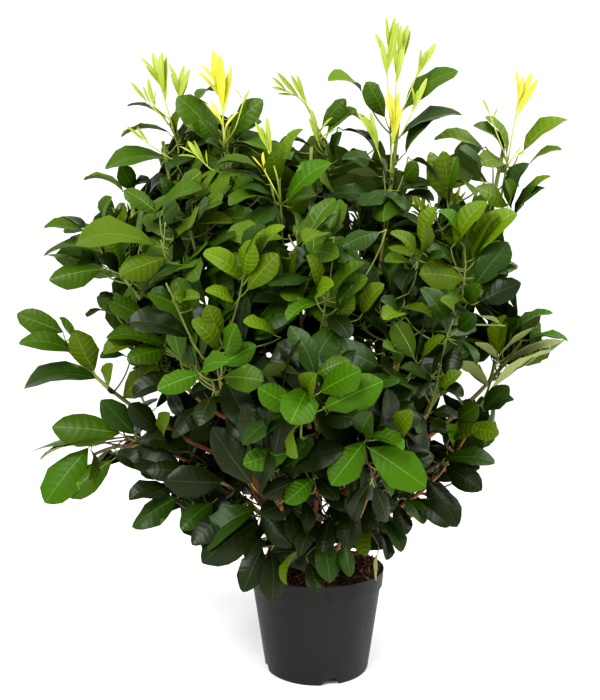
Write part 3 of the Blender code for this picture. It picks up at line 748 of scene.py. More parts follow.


# Leading shoots, read off the photograph. Each one has the mass that carries it, its depth in metres
# behind the container's axis, the pixels that its stem passes, the lowest first, and its leaves:
# pixel of the tip, pixel of the blade's foot, centimetres that the tip comes towards the viewer,
# degrees that the blade is tilted (0 shows its face, 90 its edge, over 90 its underside) and its tint
# a leading leaf's tint follows how bright it shows: partly its own colour, partly painted shade low down and
# inside, painted light at the front and top
tintLetters = dict(zip("kdmbolpyw", ("dark", "deep", "mid", "bright", "olive", "light", "pale", "young", "yellow")))
leadShoots = {
    "topLeft": ("top_left", 0.02, ((180, 160), (177, 140)), (
        (127, 106, 168, 124, 1, 72, "d"), (121, 137, 168, 132, 3, 68, "m"), (105, 169, 166, 158, 3, 42, "m"),
        (181, 112, 180, 138, 6, 45, "o"), (203, 128, 183, 144, 5, 55, "d"), (204, 160, 186, 175, 5, 30, "m"),
        (168, 170, 198, 160, 4, 40, "d"))),
    "topLeftCentre": ("top_left_centre", -0.04, ((228, 175), (224, 146)), (
        (177, 97, 219, 141, 3, 18, "m"), (199, 120, 219, 146, 5, 30, "m"), (199, 99, 219, 92, 5, 62, "m"),
        (263, 100, 230, 137, 4, 24, "m"), (262, 122, 238, 142, 4, 40, "d"), (268, 150, 230, 146, 4, 45, "m"),
        (262, 156, 228, 150, 4, 55, "o"), (205, 142, 222, 152, 4, 50, "d"))),
    "topCentre": ("top_centre", -0.14, ((283, 255), (281, 204)), (
        (303, 129, 283, 168, 1, 50, "l"), (331, 163, 288, 199, 3, 35, "b"), (271, 152, 278, 182, 6, 20, "o"),
        (216, 165, 263, 175, 2, 62, "m"), (217, 178, 266, 184, 3, 60, "m"), (229, 206, 272, 202, 5, 48, "m"),
        (243, 188, 274, 200, 4, 60, "d"), (252, 226, 276, 205, 5, 25, "d"), (316, 196, 290, 207, 6, 40, "d"))),
    "topCentreBack": ("top_centre", 0.05, ((330, 175), (324, 140)), (
        (346, 99, 322, 127, 4, 20, "m"), (357, 110, 327, 136, 2, 45, "o"), (342, 132, 337, 160, 5, 60, "d"),
        (374, 150, 343, 130, 2, 62, "d"), (280, 143, 310, 146, 3, 60, "d"), (349, 113, 373, 142, 3, 48, "m"),
        (366, 168, 344, 163, 7, 40, "d"))),
    "tallShoot": ("top_right_centre", -0.01, ((393, 180), (390, 130)), (
        (328, 81, 361, 90, 5, 48, "l"), (366, 82, 385, 117, 4, 15, "m"), (458, 71, 404, 109, 3, 42, "m"),
        (462, 115, 399, 138, 3, 58, "d"), (440, 118, 406, 152, 2, 52, "m"), (347, 172, 378, 176, 5, 118, "p"),
        (382, 160, 386, 178, 8, 30, "d"))),
    "topRightCentre": ("top_right_centre", -0.07, ((386, 225), (389, 190)), (
        (362, 206, 386, 190, 6, 30, "d"), (383, 222, 388, 192, 6, 20, "m"), (405, 210, 391, 192, 7, 30, "d"),
        (428, 190, 396, 197, 4, 58, "d"), (418, 163, 404, 182, 6, 25, "m"), (437, 181, 412, 160, 4, 72, "d"),
        (342, 160, 378, 168, 3, 55, "d"), (431, 186, 400, 190, 3, 40, "d"),
        (434, 201, 402, 198, 3, 45, "k"))),
    "topRightInner": ("top_right_centre", -0.05, ((452, 230), (447, 200)), (
        (430, 152, 447, 200, 3, 15, "o"), (459, 148, 481, 178, 4, 50, "d"), (475, 196, 455, 182, 5, 50, "m"),
        (457, 156, 448, 196, 3, 35, "m"), (443, 151, 447, 198, 4, 12, "o"))),
    "topRight": ("top_right", 0.01, ((500, 205), (507, 163)), (
        (434, 140, 484, 151, 2, 45, "l"), (473, 126, 504, 156, 3, 45, "m"), (485, 117, 507, 155, 2, 50, "l"),
        (568, 120, 524, 150, 2, 48, "l"), (562, 150, 530, 163, 4, 62, "o"), (478, 164, 504, 167, 6, 38, "o"))),
    "topRightLow": ("top_right", -0.02, ((500, 240), (509, 212)), (
        (528, 163, 511, 208, 1, 62, "d"), (551, 176, 523, 205, 2, 70, "l"), (545, 188, 515, 215, 3, 60, "d"),
        (476, 188, 507, 206, 4, 25, "o"), (505, 180, 507, 205, 6, 40, "m"))),
    "rightHigh": ("right_high", -0.12, ((462, 300), (466, 262)), (
        (436, 207, 423, 245, 2, 48, "l"), (438, 211, 461, 242, 2, 48, "b"), (487, 202, 455, 243, 3, 45, "l"),
        (516, 213, 474, 258, 1, 45, "l"), (500, 214, 474, 262, 2, 70, "o"), (419, 274, 462, 279, 5, 15, "o"),
        (508, 242, 474, 286, 2, 12, "d"), (521, 283, 478, 302, 2, 18, "k"), (516, 268, 492, 276, 3, 60, "k"),
        (425, 250, 452, 266, 4, 40, "d"), (480, 284, 468, 302, 5, 40, "m"))),
    "leftHigh": ("left_high", 0.0, ((142, 290), (121, 272)), (
        (44, 228, 86, 233, 3, 58, "m"), (58, 220, 86, 228, -2, 72, "k"), (44, 256, 104, 254, 2, 70, "o"),
        (49, 280, 101, 269, 3, 22, "m"), (98, 258, 119, 272, 6, 50, "k"), (110, 238, 122, 268, 4, 20, "o"),
        (134, 240, 126, 268, 4, 50, "d"), (96, 222, 118, 235, -5, 30, "m"))),
    "leftHighFront": ("front_high_left", -0.15, ((168, 265), (161, 240)), (
        (76, 244, 156, 246, 1, 48, "o"), (119, 276, 166, 258, 3, 12, "o"), (233, 223, 168, 248, 1, 60, "o"),
        (172, 262, 166, 225, 3, 70, "k"))),
    "leftHighUp": ("front_high_left", -0.12, ((162, 240), (160, 218)), (
        (124, 190, 158, 214, 2, 30, "m"), (203, 189, 162, 212, 2, 42, "m"), (178, 205, 162, 224, 6, 30, "d"))),
    "leftHighBack": ("left_high", 0.04, ((140, 225), (127, 192)), (
        (84, 180, 123, 191, 1, 70, "o"), (120, 165, 134, 190, 6, 20, "m"), (150, 182, 132, 194, 5, 50, "k"),
        (112, 197, 106, 222, 5, 35, "m"), (166, 178, 150, 196, 5, 45, "k"))),
    "highInner": ("front_high_left", -0.09, ((185, 235), (178, 205)), (
        (201, 172, 174, 199, 5, 20, "p"), (160, 178, 172, 203, 4, 40, "d"))),
    "frontHighLeft": ("front_high_left", -0.23, ((222, 352), (240, 300), (243, 276)), (
        (203, 253, 240, 279, 3, 38, "l"), (252, 240, 244, 276, 4, 28, "l"), (278, 254, 247, 290, 3, 22, "o"),
        (285, 226, 256, 263, 1, 55, "l"), (266, 226, 246, 262, 3, 52, "d"), (205, 291, 235, 304, 4, 52, "l"))),
    "frontHighCentre": ("front_high_centre", -0.24, ((318, 345), (326, 300)), (
        (365, 263, 331, 298, 3, 50, "m"), (307, 255, 318, 290, 4, 50, "o"), (342, 247, 380, 232, 2, 30, "d"),
        (305, 243, 330, 238, 6, 55, "o"), (334, 285, 318, 296, 7, 40, "l"), (350, 338, 330, 315, 5, 20, "k"),
        (356, 284, 338, 312, 3, 40, "d"), (287, 321, 316, 304, 4, 40, "b"),
        (368, 278, 338, 302, 3, 40, "m"), (384, 284, 362, 314, 3, 35, "o"), (352, 292, 340, 320, 3, 25, "o"))),
    "highRight": ("front_high_centre", -0.17, ((412, 300), (418, 260)), (
        (390, 233, 416, 257, 3, 40, "o"), (384, 262, 412, 268, 4, 55, "o"), (424, 225, 420, 255, 5, 40, "o"),
        (446, 256, 424, 262, 4, 50, "d"), (402, 290, 414, 272, 6, 45, "k"))),
    "frontLeftStem": ("front_high_left", -0.22, ((203, 365), (182, 318), (166, 283)), (
        (172, 296, 190, 306, 5, 50, "o"), (128, 322, 190, 338, 3, 50, "k"), (200, 298, 180, 306, 5, 50, "o"),
        (150, 292, 172, 300, 3, 40, "d"))),
    "frontMidLeft": ("front_mid_left", -0.27, ((216, 396), (212, 380)), (
        (157, 390, 200, 374, 3, 18, "b"), (264, 381, 223, 377, 4, 22, "m"), (229, 362, 202, 372, 6, 45, "b"),
        (199, 426, 212, 396, 5, 10, "k"))),
    "frontMidUp": ("front_mid_left", -0.24, ((222, 376), (222, 345)), (
        (256, 345, 222, 364, 2, 10, "b"), (207, 305, 220, 338, 3, 20, "o"), (192, 320, 218, 350, 3, 35, "o"),
        (243, 322, 275, 335, 3, 58, "l"), (236, 324, 226, 356, 5, 25, "b"))),
    "frontCentre": ("front_centre", -0.32, ((300, 440), (303, 412)), (
        (258, 388, 294, 410, 3, 18, "b"), (290, 424, 308, 388, 8, 6, "b"), (361, 370, 320, 392, 5, 14, "b"),
        (383, 381, 324, 408, 3, 10, "b"), (298, 458, 300, 424, 6, 66, "o"), (350, 360, 316, 374, 1, 25, "m"),
        (317, 374, 311, 394, 7, 45, "o"))),
    "frontLowRight": ("front_low_right", -0.31, ((366, 465), (366, 438)), (
        (331, 485, 365, 441, 2, 8, "b"), (404, 450, 368, 436, 4, 48, "b"), (426, 487, 369, 448, 2, 12, "b"),
        (391, 497, 378, 470, 1, 35, "m"), (372, 412, 366, 434, 6, 40, "d"),
        (372, 500, 362, 466, -3, 30, "k"), (350, 502, 348, 466, -4, 35, "k"), (387, 522, 374, 486, -1, 30, "k"),
        (352, 520, 370, 484, -3, 40, "k"),
        (413, 411, 400, 432, 6, 45, "o"))),
    "frontLowLeft": ("front_low_left", -0.28, ((318, 495), (312, 470)), (
        (243, 464, 290, 453, 2, 25, "b"), (285, 503, 314, 478, 3, 15, "b"), (262, 496, 300, 480, 2, 20, "k"),
        (338, 500, 318, 478, 4, 25, "k"))),
    "leftShoot": ("left_shoot", 0.0, ((114, 396), (92, 372), (66, 342)), (
        (17, 314, 63, 332, 2, 8, "m"), (19, 343, 74, 352, 4, 42, "m"), (66, 318, 71, 336, 6, 30, "b"),
        (74, 330, 94, 371, 4, 5, "o"), (24, 389, 96, 378, 3, 48, "d"), (113, 364, 114, 394, 5, 60, "o"),
        (160, 364, 123, 398, 3, 25, "o"), (100, 358, 126, 356, 4, 55, "d"))),
    "leftMiddle": ("left_middle", -0.06, ((192, 372), (165, 346)), (
        (108, 300, 146, 318, 3, 10, "m"), (99, 296, 117, 302, 4, 60, "k"), (87, 317, 110, 313, 5, 66, "k"),
        (106, 338, 165, 345, 2, 52, "m"), (127, 360, 166, 350, 5, 25, "m"),
        (133, 396, 186, 384, 4, 45, "k"), (172, 438, 204, 404, 4, 30, "k"), (103, 354, 142, 344, 3, 40, "o"))),
    "leftLowShoot": ("left_low_shoot", -0.02, ((215, 468), (172, 440), (126, 436)), (
        (52, 427, 120, 433, 2, 28, "m"), (31, 452, 118, 438, 1, 86, "p"), (40, 460, 92, 446, 2, 84, "p"),
        (45, 503, 88, 448, 4, 8, "b"), (67, 497, 112, 460, 3, 22, "m"), (88, 480, 91, 450, 4, 80, "o"),
        (101, 400, 134, 434, 2, 22, "d"), (129, 404, 160, 434, 3, 30, "k"), (170, 413, 168, 439, 6, 50, "o"),
        (140, 470, 118, 452, 4, 35, "k"), (180, 474, 124, 456, 3, 35, "k"),
        (188, 450, 136, 441, 3, 50, "k"))),
    "lowLeft": ("low_left", -0.10, ((238, 490), (222, 482)), (
        (165, 480, 222, 483, 3, 5, "k"), (129, 500, 166, 486, 4, 50, "k"), (132, 527, 178, 497, 4, 25, "d"),
        (181, 530, 213, 502, 6, 30, "d"), (146, 470, 190, 474, 2, 30, "k"))),
    "lowLeftUnder": ("skirt_left", -0.13, ((275, 535), (262, 512)), (
        (192, 545, 226, 512, 4, 30, "k"), (202, 548, 256, 508, 2, 40, "d"), (202, 563, 258, 520, 4, 22, "k"),
        (292, 547, 261, 512, 4, 10, "k"))),
    "skirtLeft": ("skirt_left", -0.15, ((284, 545), (268, 535)), (
        (243, 592, 262, 547, 3, 12, "k"), (272, 603, 271, 550, 3, 30, "k"), (246, 560, 262, 540, 6, 40, "k"))),
    "skirtFront": ("skirt_front", -0.18, ((336, 535), (332, 520)), (
        (330, 583, 322, 536, 3, 15, "d"), (350, 577, 343, 542, 3, 30, "d"), (346, 549, 354, 506, 4, 10, "k"),
        (300, 556, 316, 520, 4, 35, "k"), (287, 585, 299, 550, 2, 78, "o"), (318, 594, 308, 562, 4, 30, "k"),
        (322, 552, 330, 516, 4, 15, "k"), (296, 545, 290, 510, 3, 20, "k"),
        (260, 514, 298, 500, 3, 30, "k"), (306, 534, 303, 500, 3, 35, "k"), (352, 508, 324, 496, 3, 30, "k"))),
    "skirtRight": ("skirt_front", -0.12, ((360, 525), (376, 518)), (
        (401, 552, 381, 520, 4, 45, "d"), (376, 581, 378, 552, 4, 118, "p"), (386, 560, 378, 530, 5, 50, "k"),
        (366, 556, 368, 522, 5, 40, "o"), (396, 508, 360, 500, 4, 35, "k"),
        (378, 528, 350, 508, 3, 25, "k"))),
    "lowRight": ("low_right", -0.12, ((388, 508), (402, 498)), (
        (405, 535, 397, 504, 5, 20, "k"), (449, 527, 411, 500, 4, 35, "k"), (424, 524, 404, 500, 4, 35, "d"))),
    "rightLow": ("right_low", -0.05, ((420, 475), (442, 462)), (
        (495, 463, 444, 459, 3, 50, "d"), (482, 490, 446, 466, 5, 10, "k"), (457, 527, 427, 479, 4, 22, "k"),
        (480, 468, 448, 462, 4, 30, "k"))),
    "rightLowUp": ("right_low", -0.04, ((445, 445), (455, 430)), (
        (499, 434, 466, 426, 4, 20, "l"), (478, 430, 450, 438, 5, 45, "o"), (478, 405, 456, 422, 6, 30, "m"),
        (446, 425, 450, 446, 5, 45, "m"), (430, 432, 448, 430, 6, 50, "d"))),
    "rightShoot": ("right_shoot", -0.02, ((480, 410), (489, 388), (497, 358)), (
        (553, 313, 511, 334, 1, 78, "b"), (568, 341, 528, 340, 3, 76, "b"), (564, 341, 506, 362, 2, 122, "p"),
        (552, 350, 488, 394, 2, 118, "p"), (534, 327, 498, 357, 3, 118, "p"), (458, 361, 488, 386, 4, 122, "p"),
        (506, 315, 497, 356, 2, 45, "l"), (476, 342, 497, 358, 5, 118, "p"), (518, 318, 506, 336, 5, 55, "d"),
        (509, 386, 484, 410, 4, 30, "d"), (514, 400, 490, 408, 4, 55, "d"))),
    "frontMidRight": ("front_mid_right", -0.20, ((428, 425), (436, 385), (444, 345), (453, 318)), (
        (394, 322, 414, 358, 3, 15, "p"), (445, 336, 421, 360, 3, 66, "o"), (420, 288, 447, 334, 2, 40, "d"),
        (383, 320, 403, 318, 6, 60, "l"), (476, 314, 458, 330, 5, 20, "d"), (478, 316, 500, 324, 3, 100, "p"),
        (462, 372, 440, 396, 3, 60, "o"), (400, 368, 430, 386, 3, 60, "d"), (440, 300, 453, 318, 5, 50, "o"),
        (412, 402, 430, 374, 3, 40, "k"), (476, 365, 455, 340, 3, 55, "d"), (463, 397, 438, 388, 3, 45, "k"),
        (458, 418, 432, 412, 3, 40, "k"), (449, 378, 456, 344, 2, 30, "k"), (431, 374, 442, 344, 2, 40, "k"),
        (472, 348, 452, 364, 1, 35, "d"))),
    "midRightUp": ("front_mid_right", -0.19, ((395, 345), (402, 318)), (
        (432, 318, 398, 310, 3, 55, "o"), (380, 300, 398, 314, 4, 50, "d"), (388, 338, 350, 312, 2, 62, "d"))),
}
# tufts of new leaves: the shoot that carries it, pixels along the stem, and pixels of its leaf tips
newTufts = (
    ("topLeft", "y", ((172, 125), (165, 100), (160, 82)), ((141, 58), (146, 66), (153, 53), (162, 52), (167, 56))),
    ("topLeft", "y", ((174, 116), (180, 94)), ((168, 63), (171, 74), (184, 65), (190, 69), (188, 80))),
    ("topLeft", "y", ((168, 122), (149, 104)), ((131, 82), (143, 86), (148, 78))),
    ("topLeft", "y", ((171, 120), (154, 106)), ((157, 89), (153, 92))),
    ("topLeft", "y", ((172, 160), (146, 142)), ((127, 126), (136, 125))),
    ("topLeftCentre", "w", ((224, 144), (223, 120), (221, 94)), ((200, 64), (198, 72), (213, 50), (220, 55), (232, 65))),
    ("topLeftCentre", "w", ((225, 140), (223, 124)), ((205, 103), (211, 101), (239, 112))),
    ("topLeftCentre", "y", ((236, 128), (243, 103)), ((234, 88), (250, 90))),
    ("topLeftCentre", "y", ((213, 172), (196, 155)), ((179, 146), (178, 156), (188, 141), (194, 140), (206, 150))),
    ("topCentre", "y", ((277, 175), (268, 150)), ((255, 122), (261, 126), (267, 117))),
    ("topCentre", "w", ((275, 190), (264, 170)), ((252, 156), (263, 152))),
    ("topCentreBack", "y", ((318, 140), (313, 114), (303, 99)), ((291, 75), (297, 75), (294, 80))),
    ("topCentreBack", "y", ((303, 99), (287, 91)), ((272, 77), (271, 87), (277, 94), (277, 72))),
    ("topCentreBack", "y", ((320, 148), (317, 138)), ((333, 117), (338, 128), (311, 109), (309, 118))),
    ("tallShoot", "y", ((391, 125), (387, 80), (388, 48)), ((386, 17), (395, 17), (375, 33), (398, 22), (381, 40))),
    ("tallShoot", "y", ((394, 120), (396, 85), (398, 58)), ((401, 25), (408, 25), (410, 30), (395, 44), (404, 42))),
    ("tallShoot", "y", ((402, 112), (413, 85), (418, 70)), ((421, 49), (427, 50), (436, 43))),
    ("tallShoot", "y", ((400, 138), (414, 108)), ((410, 84), (418, 90), (427, 78))),
    ("tallShoot", "w", ((390, 178), (393, 128)), ((383, 95), (390, 93), (398, 92), (402, 107))),
    ("tallShoot", "y", ((385, 170), (373, 138)), ((357, 112), (364, 115), (371, 112), (375, 126))),
    ("topRight", "w", ((508, 160), (514, 125), (518, 100)), ((515, 70), (523, 75), (532, 72), (538, 79))),
    ("topRight", "y", ((503, 150), (490, 116)), ((482, 99), (498, 108))),
    ("topRight", "w", ((508, 165), (514, 156)), ((522, 146), (526, 152))),
)
# the outline of the dense crown, and gaps through it where the photograph shows sky (x, y, radius)
crownEdge = np.array((
    (262, 560), (210, 552), (194, 522), (178, 490), (144, 468), (128, 440), (120, 412), (140, 396), (122, 382),
    (100, 370), (102, 352), (118, 336), (124, 306), (132, 290), (112, 274), (96, 262), (92, 240), (106, 226),
    (106, 192), (128, 188), (124, 174), (148, 174), (172, 148), (188, 130), (206, 116), (238, 120), (256, 140),
    (284, 160), (312, 152), (326, 130), (350, 124), (372, 122), (388, 134), (404, 150), (430, 160), (452, 150),
    (484, 150), (502, 164), (520, 166), (518, 184), (508, 206), (514, 204), (504, 224), (498, 248), (512, 286),
    (514, 310), (510, 328), (503, 344), (498, 362), (494, 380), (502, 402), (490, 430), (484, 460), (468, 490),
    (444, 516), (404, 520), (386, 538), (374, 560), (336, 580), (290, 580)), float)
skyGaps = np.array((
    (351, 221, 7), (345, 188, 5), (362, 195, 4), (264, 200, 4), (298, 252, 5), (334, 245, 5), (362, 252, 4),
    (300, 303, 6), (205, 298, 4), (270, 353, 5), (345, 343, 6), (370, 343, 8), (422, 208, 7), (457, 190, 6),
    (435, 263, 7), (436, 350, 2), (436, 368, 2), (473, 388, 5), (484, 361, 4), (256, 396, 5), (188, 287, 4),
    (240, 208, 4), (290, 209, 3), (150, 168, 8), (126, 256, 4), (165, 406, 4), (131, 396, 3), (124, 366, 5),
    (120, 345, 2), (342, 140, 5), (365, 158, 4), (410, 155, 5), (425, 172, 5), (325, 507, 6), (367, 505, 4),
    (404, 488, 5), (416, 492, 5), (431, 442, 7), (437, 408, 4), (168, 463, 5), (255, 514, 3), (213, 455, 4),
    (410, 375, 3), (372, 368, 4), (356, 434, 4), (238, 380, 3), (484, 170, 3), (497, 205, 3)), float)


def tiltedUpper(heading, tilt):
    # the blade's upper side: towards the viewer at 0 degrees, turned upwards as the tilt grows
    viewer = np.array([0.0, -1.0, 0.0])
    viewer = unit(viewer - heading * (viewer @ heading))
    level = np.cross(heading, viewer)
    level = level * (1.0 if level[2] >= 0.0 else -1.0)
    return viewer * math.cos(math.radians(tilt)) + level * math.sin(math.radians(tilt))


def leafOnShoot(path, base, tip, upper, tint, **shape):
    # the leaf stalk leaves the shoot, or a side twig where the blade stands well away from it
    heading = unit(tip - base)
    foot = base - heading * leaf["petiole"]
    gap = np.linalg.norm(path - foot, axis=1)
    near = int(np.argmin(gap))
    if gap[near] > 0.018:
        start = pathSpot(path, max(0.0, near - chance.uniform(0.3, 1.8)) / (len(path) - 1))[0]
        addShoot(shootLine(start, foot, 0.3), 0.0018, 0.0013, "greenTwig")
        root = foot
    else:
        root = path[near]
    addLeaf(root, base, tip, upper, tint, **shape)


leadPaths, leadMiddles = {}, []
bareLines = (((170, 440), (214, 466), (258, 500)), ((228, 418), (242, 452), (262, 497)))  # bark that shows
# ranges of a leading leaf's shape up to each tilt: open face, arched and folded, edge or underside
leadShapes = (
    (33, {"width": (0.52, 0.60), "arch": (0.4, 0.9), "fold": (0.10, 0.30), "curl": (0.30, 0.55)}),
    (84, {"width": (0.48, 0.56), "arch": (0.9, 1.4), "fold": (0.45, 0.75), "curl": (0.22, 0.38)}),
    (180, {"width": (0.32, 0.40), "arch": (0.6, 1.0), "fold": (0.12, 0.28), "curl": (0.22, 0.35)}),
)


def keepClear(spots, pixels):
    # no filling leaf grows in front of these places or close behind them
    leadMiddles.extend(np.column_stack([toPixels(spots), spots[:, 1], np.full(len(spots), pixels)]))


def growLeadShoots():
    for name, (mass, depth, stem, leaves) in leadShoots.items():
        spots = [photoSpot(pixel, depth) for pixel in stem]
        line = limbLines[mass]
        window = np.arange(int(len(line) * 0.45), len(line))
        cost = np.linalg.norm(line[window] - spots[0], axis=1) + 0.8 * np.maximum(line[window, 2] - spots[0][2], 0)
        start = line[window[int(np.argmin(cost))]]
        path = pathThrough([start] + spots)
        leadPaths[name] = path
        keepClear(path[4:], 8.0)
        addShoot(path, 0.0030, 0.0017, "greenTwig")
        for tipX, tipY, baseX, baseY, toward, tilt, letter in leaves:
            base = photoSpot((baseX, baseY), depth - 0.005)
            tip = photoSpot((tipX, tipY), depth - 0.005 - toward / 100.0)
            shape = next(ranges for limit, ranges in leadShapes if tilt <= limit)
            shape = {part: chance.uniform(*limits) for part, limits in shape.items()}
            leafOnShoot(path, base, tip, tiltedUpper(unit(tip - base), tilt), tintLetters[letter], **shape)
            blade = base + (tip - base) * np.array([[0.15], [0.35], [0.55], [0.75], [0.9]])
            keepClear(blade, 14.0)
    for pixels in bareLines:
        keepClear(pathThrough([photoSpot(pixel, -0.01) for pixel in pixels]), 9.0)
    for name, letter, stem, tips in newTufts:
        depth = leadShoots[name][1] - 0.045
        spots = [photoSpot(pixel, depth) for pixel in stem]
        path = leadPaths[name]
        start = path[int(np.argmin(np.linalg.norm(path - spots[0], axis=1)))]
        line = pathThrough([start] + spots)
        addShoot(line, 0.0018, 0.0011, "newStem")
        for number, pixel in enumerate(tips):
            tip = photoSpot(pixel, depth + (number % 3 - 1) * 0.011)
            root = pathSpot(line, 1.0 - 0.08 * number)[0]
            heading = unit(tip - root)
            upper = unit(unit(line[-1] - line[-3]) - heading * 0.8 + np.array([0.0, -0.9, 0.1]))
            addLeaf(root, root + heading * 0.003, tip, upper, tintLetters[letter],
                    width=chance.uniform(0.13, 0.19), arch=chance.uniform(0.0, 0.7), fold=0.4, curl=0.12)


# Filling shoots inside each mass, over the directions that its box allows
fill = {
    "density": 14500.0, "leavesMost": 150, "tries": 220, "internode": 0.018, "clear": 0.035, "grace": 0.18,
    "fewest": 2, "fringe": 0.90, "shortest": 0.06, "newAbove": 0.80, "newShare": 0.3,
    "insideShoots": 5, "insideGrace": 0.75,
    "ladder": ("dark", "deep", "mid", "olive", "light"),  # tints from the shady bottom to the open top
    "lightAtFoot": -0.5, "lightByHeight": 3.5, "lightByReach": 0.6, "shadeInside": 0.8, "lightSpread": 0.4,
}
massBoxes = {name: tuple(np.array(corner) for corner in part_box("mass_" + name)) for name in massCentres}
boxMiddles = np.array([(low + high) / 2 for low, high in massBoxes.values()])
boxHalves = np.array([(high - low) / 2 for low, high in massBoxes.values()])


def insideEdge(pixels):
    # even and odd crossings of the crown's outline, for many pixels at once
    x, y = pixels[:, :1], pixels[:, 1:]
    ax, ay = crownEdge[:, 0][None], crownEdge[:, 1][None]
    bx, by = np.roll(crownEdge[:, 0], -1)[None], np.roll(crownEdge[:, 1], -1)[None]
    crosses = (ay > y) != (by > y)
    where = (bx - ax) * (y - ay) / np.where(by == ay, 1.0, by - ay) + ax
    return np.sum(crosses & (x < where), axis=1) % 2 == 1


def fits(base, tip, grace):
    # a filling leaf keeps inside the masses and the outline, off the sky gaps and behind the leading leaves
    reach = np.linalg.norm((tip - boxMiddles) / boxHalves, axis=1)
    if reach.min() > 1.0 + grace:
        return False
    samples = base + (tip - base) * np.array([0.35, 0.6, 0.85, 1.0])[:, None]
    if tip[2] < 0.215 and math.hypot(tip[0], tip[1]) < 0.15:
        return False
    pixels = toPixels(samples)
    away = np.linalg.norm(leadPlaces[None, :, :2] - pixels[:, None], axis=2)
    behind = samples[:, 1:2] > leadPlaces[None, :, 2] + 0.03
    hidden = (behind & (away < 6.0)).any(axis=1) & (tip[2] < fill["fringe"])
    if not (insideEdge(pixels) | hidden)[1:].all():
        return False
    gaps = np.linalg.norm(pixels[:, None] - skyGaps[None, :, :2], axis=2)
    if (gaps < skyGaps[None, :, 2] + 5.5).any():
        return False
    return not (~behind & (away < leadPlaces[None, :, 3]))[:3].any()


def lightStep(spot):
    # how far up the ladder of tints a shoot stands: more light higher up and further out
    height = min(max((spot[2] - 0.35) / 0.75, 0.0), 1.0)
    reach = math.hypot(spot[0], spot[1])
    step = fill["lightAtFoot"] + fill["lightByHeight"] * height + fill["lightByReach"] * min(reach / 0.4, 1.0)
    if (reach < 0.16 and height < 0.7) or (abs(spot[0]) < 0.17 and height < 0.5):
        step -= fill["shadeInside"]
    return step + chance.normal(0.0, fill["lightSpread"])


def leafyShoot(path, light, grace):
    # leaves two fifths of a turn apart, opening wide low down and steep near the tip; they turn
    # their upper sides up and outwards, to the light
    length = float(np.sum(np.linalg.norm(np.diff(path, axis=0), axis=1)))
    count = int(np.clip(length * 0.75 / fill["internode"], 6, 13))
    spin = chance.uniform(0.0, 6.28)
    chosen, highest = [], 0.0
    for number in range(count):
        share = 1.0 - 0.75 * (number + 0.3) / count
        spot, axis = pathSpot(path, share)
        axis = unit(axis + np.array([0.0, 0.0, 0.35]))
        across = unit(np.cross(axis, [0.3, 1.0, 0.05]))
        other = np.cross(axis, across)
        turn = spin + number * 2.513 + chance.normal(0.0, 0.25)
        opening = math.radians(28.0 + 50.0 * min(1.0, number / 5.0) + chance.normal(0.0, 9.0))
        heading = axis * math.cos(opening) + (across * math.cos(turn) + other * math.sin(turn)) * math.sin(opening)
        heading[2] -= 0.05 + 0.06 * number
        heading = unit(heading)
        outward = unit(np.array([spot[0], spot[1], 0.0]))
        upper = np.array([0.0, 0.0, 0.5]) + outward * 0.8 + axis * 0.25 + chance.normal(0.0, 0.28, 3)
        size = chance.uniform(*leaf["length"]) * (0.80 + 0.05 * min(number, 4))
        base = spot + heading * leaf["petiole"]
        for scale in (1.0, 0.8):
            if fits(base, base + heading * size * scale, grace):
                # the youngest leaves are the lightest, the oldest the darkest
                step = light + 0.35 - 0.10 * number + chance.normal(0.0, 0.3)
                step = int(np.clip(round(step), 0, len(fill["ladder"]) - 1))
                chosen.append((spot, base, base + heading * size * scale, upper, fill["ladder"][step]))
                highest = max(highest, share)
                break
    if len(chosen) < fill["fewest"]:
        return 0, 0.0
    for spot, base, tip, upper, tint in chosen:
        addLeaf(spot, base, tip, upper, tint)
    return len(chosen), highest


def addTuft(path):
    # a pale new shoot on the end of a filling shoot, with six folded leaves round its tip
    axis = unit(unit(path[-1] - path[-3]) + np.array([0.0, 0.0, 0.9]))
    top = path[-1] + axis * chance.uniform(0.035, 0.065)
    tip = top + axis * chance.uniform(0.035, 0.055)
    pixels = toPixels(np.stack([top, tip]))
    near = np.linalg.norm(leadPlaces[:, :2] - pixels[1], axis=1) < 24.0
    if not insideEdge(pixels).all() or (near & (leadPlaces[:, 2] > tip[1] - 0.02)).any() or tip[2] > cadBox[1][2]:
        return
    addShoot(np.linspace(path[-1], top, 9), 0.0016, 0.0011, "newStem")
    across = unit(np.cross(axis, [0.3, 1.0, 0.05]))
    other = np.cross(axis, across)
    spin = chance.uniform(0.0, 6.28)
    for number in range(6):
        turn = spin + number * 2.513
        opening = math.radians(14.0 + 5.0 * number)
        ray = across * math.cos(turn) + other * math.sin(turn)
        heading = axis * math.cos(opening) + ray * math.sin(opening)
        root = top - axis * 0.004 * number
        end = root + heading * np.linalg.norm(tip - top) * chance.uniform(0.8, 1.0)
        addLeaf(root, root + heading * 0.003, end, axis - heading * 0.8 - ray * 0.3, "young",
                width=chance.uniform(0.18, 0.26), arch=chance.uniform(0.0, 0.7), fold=0.6, curl=0.12)


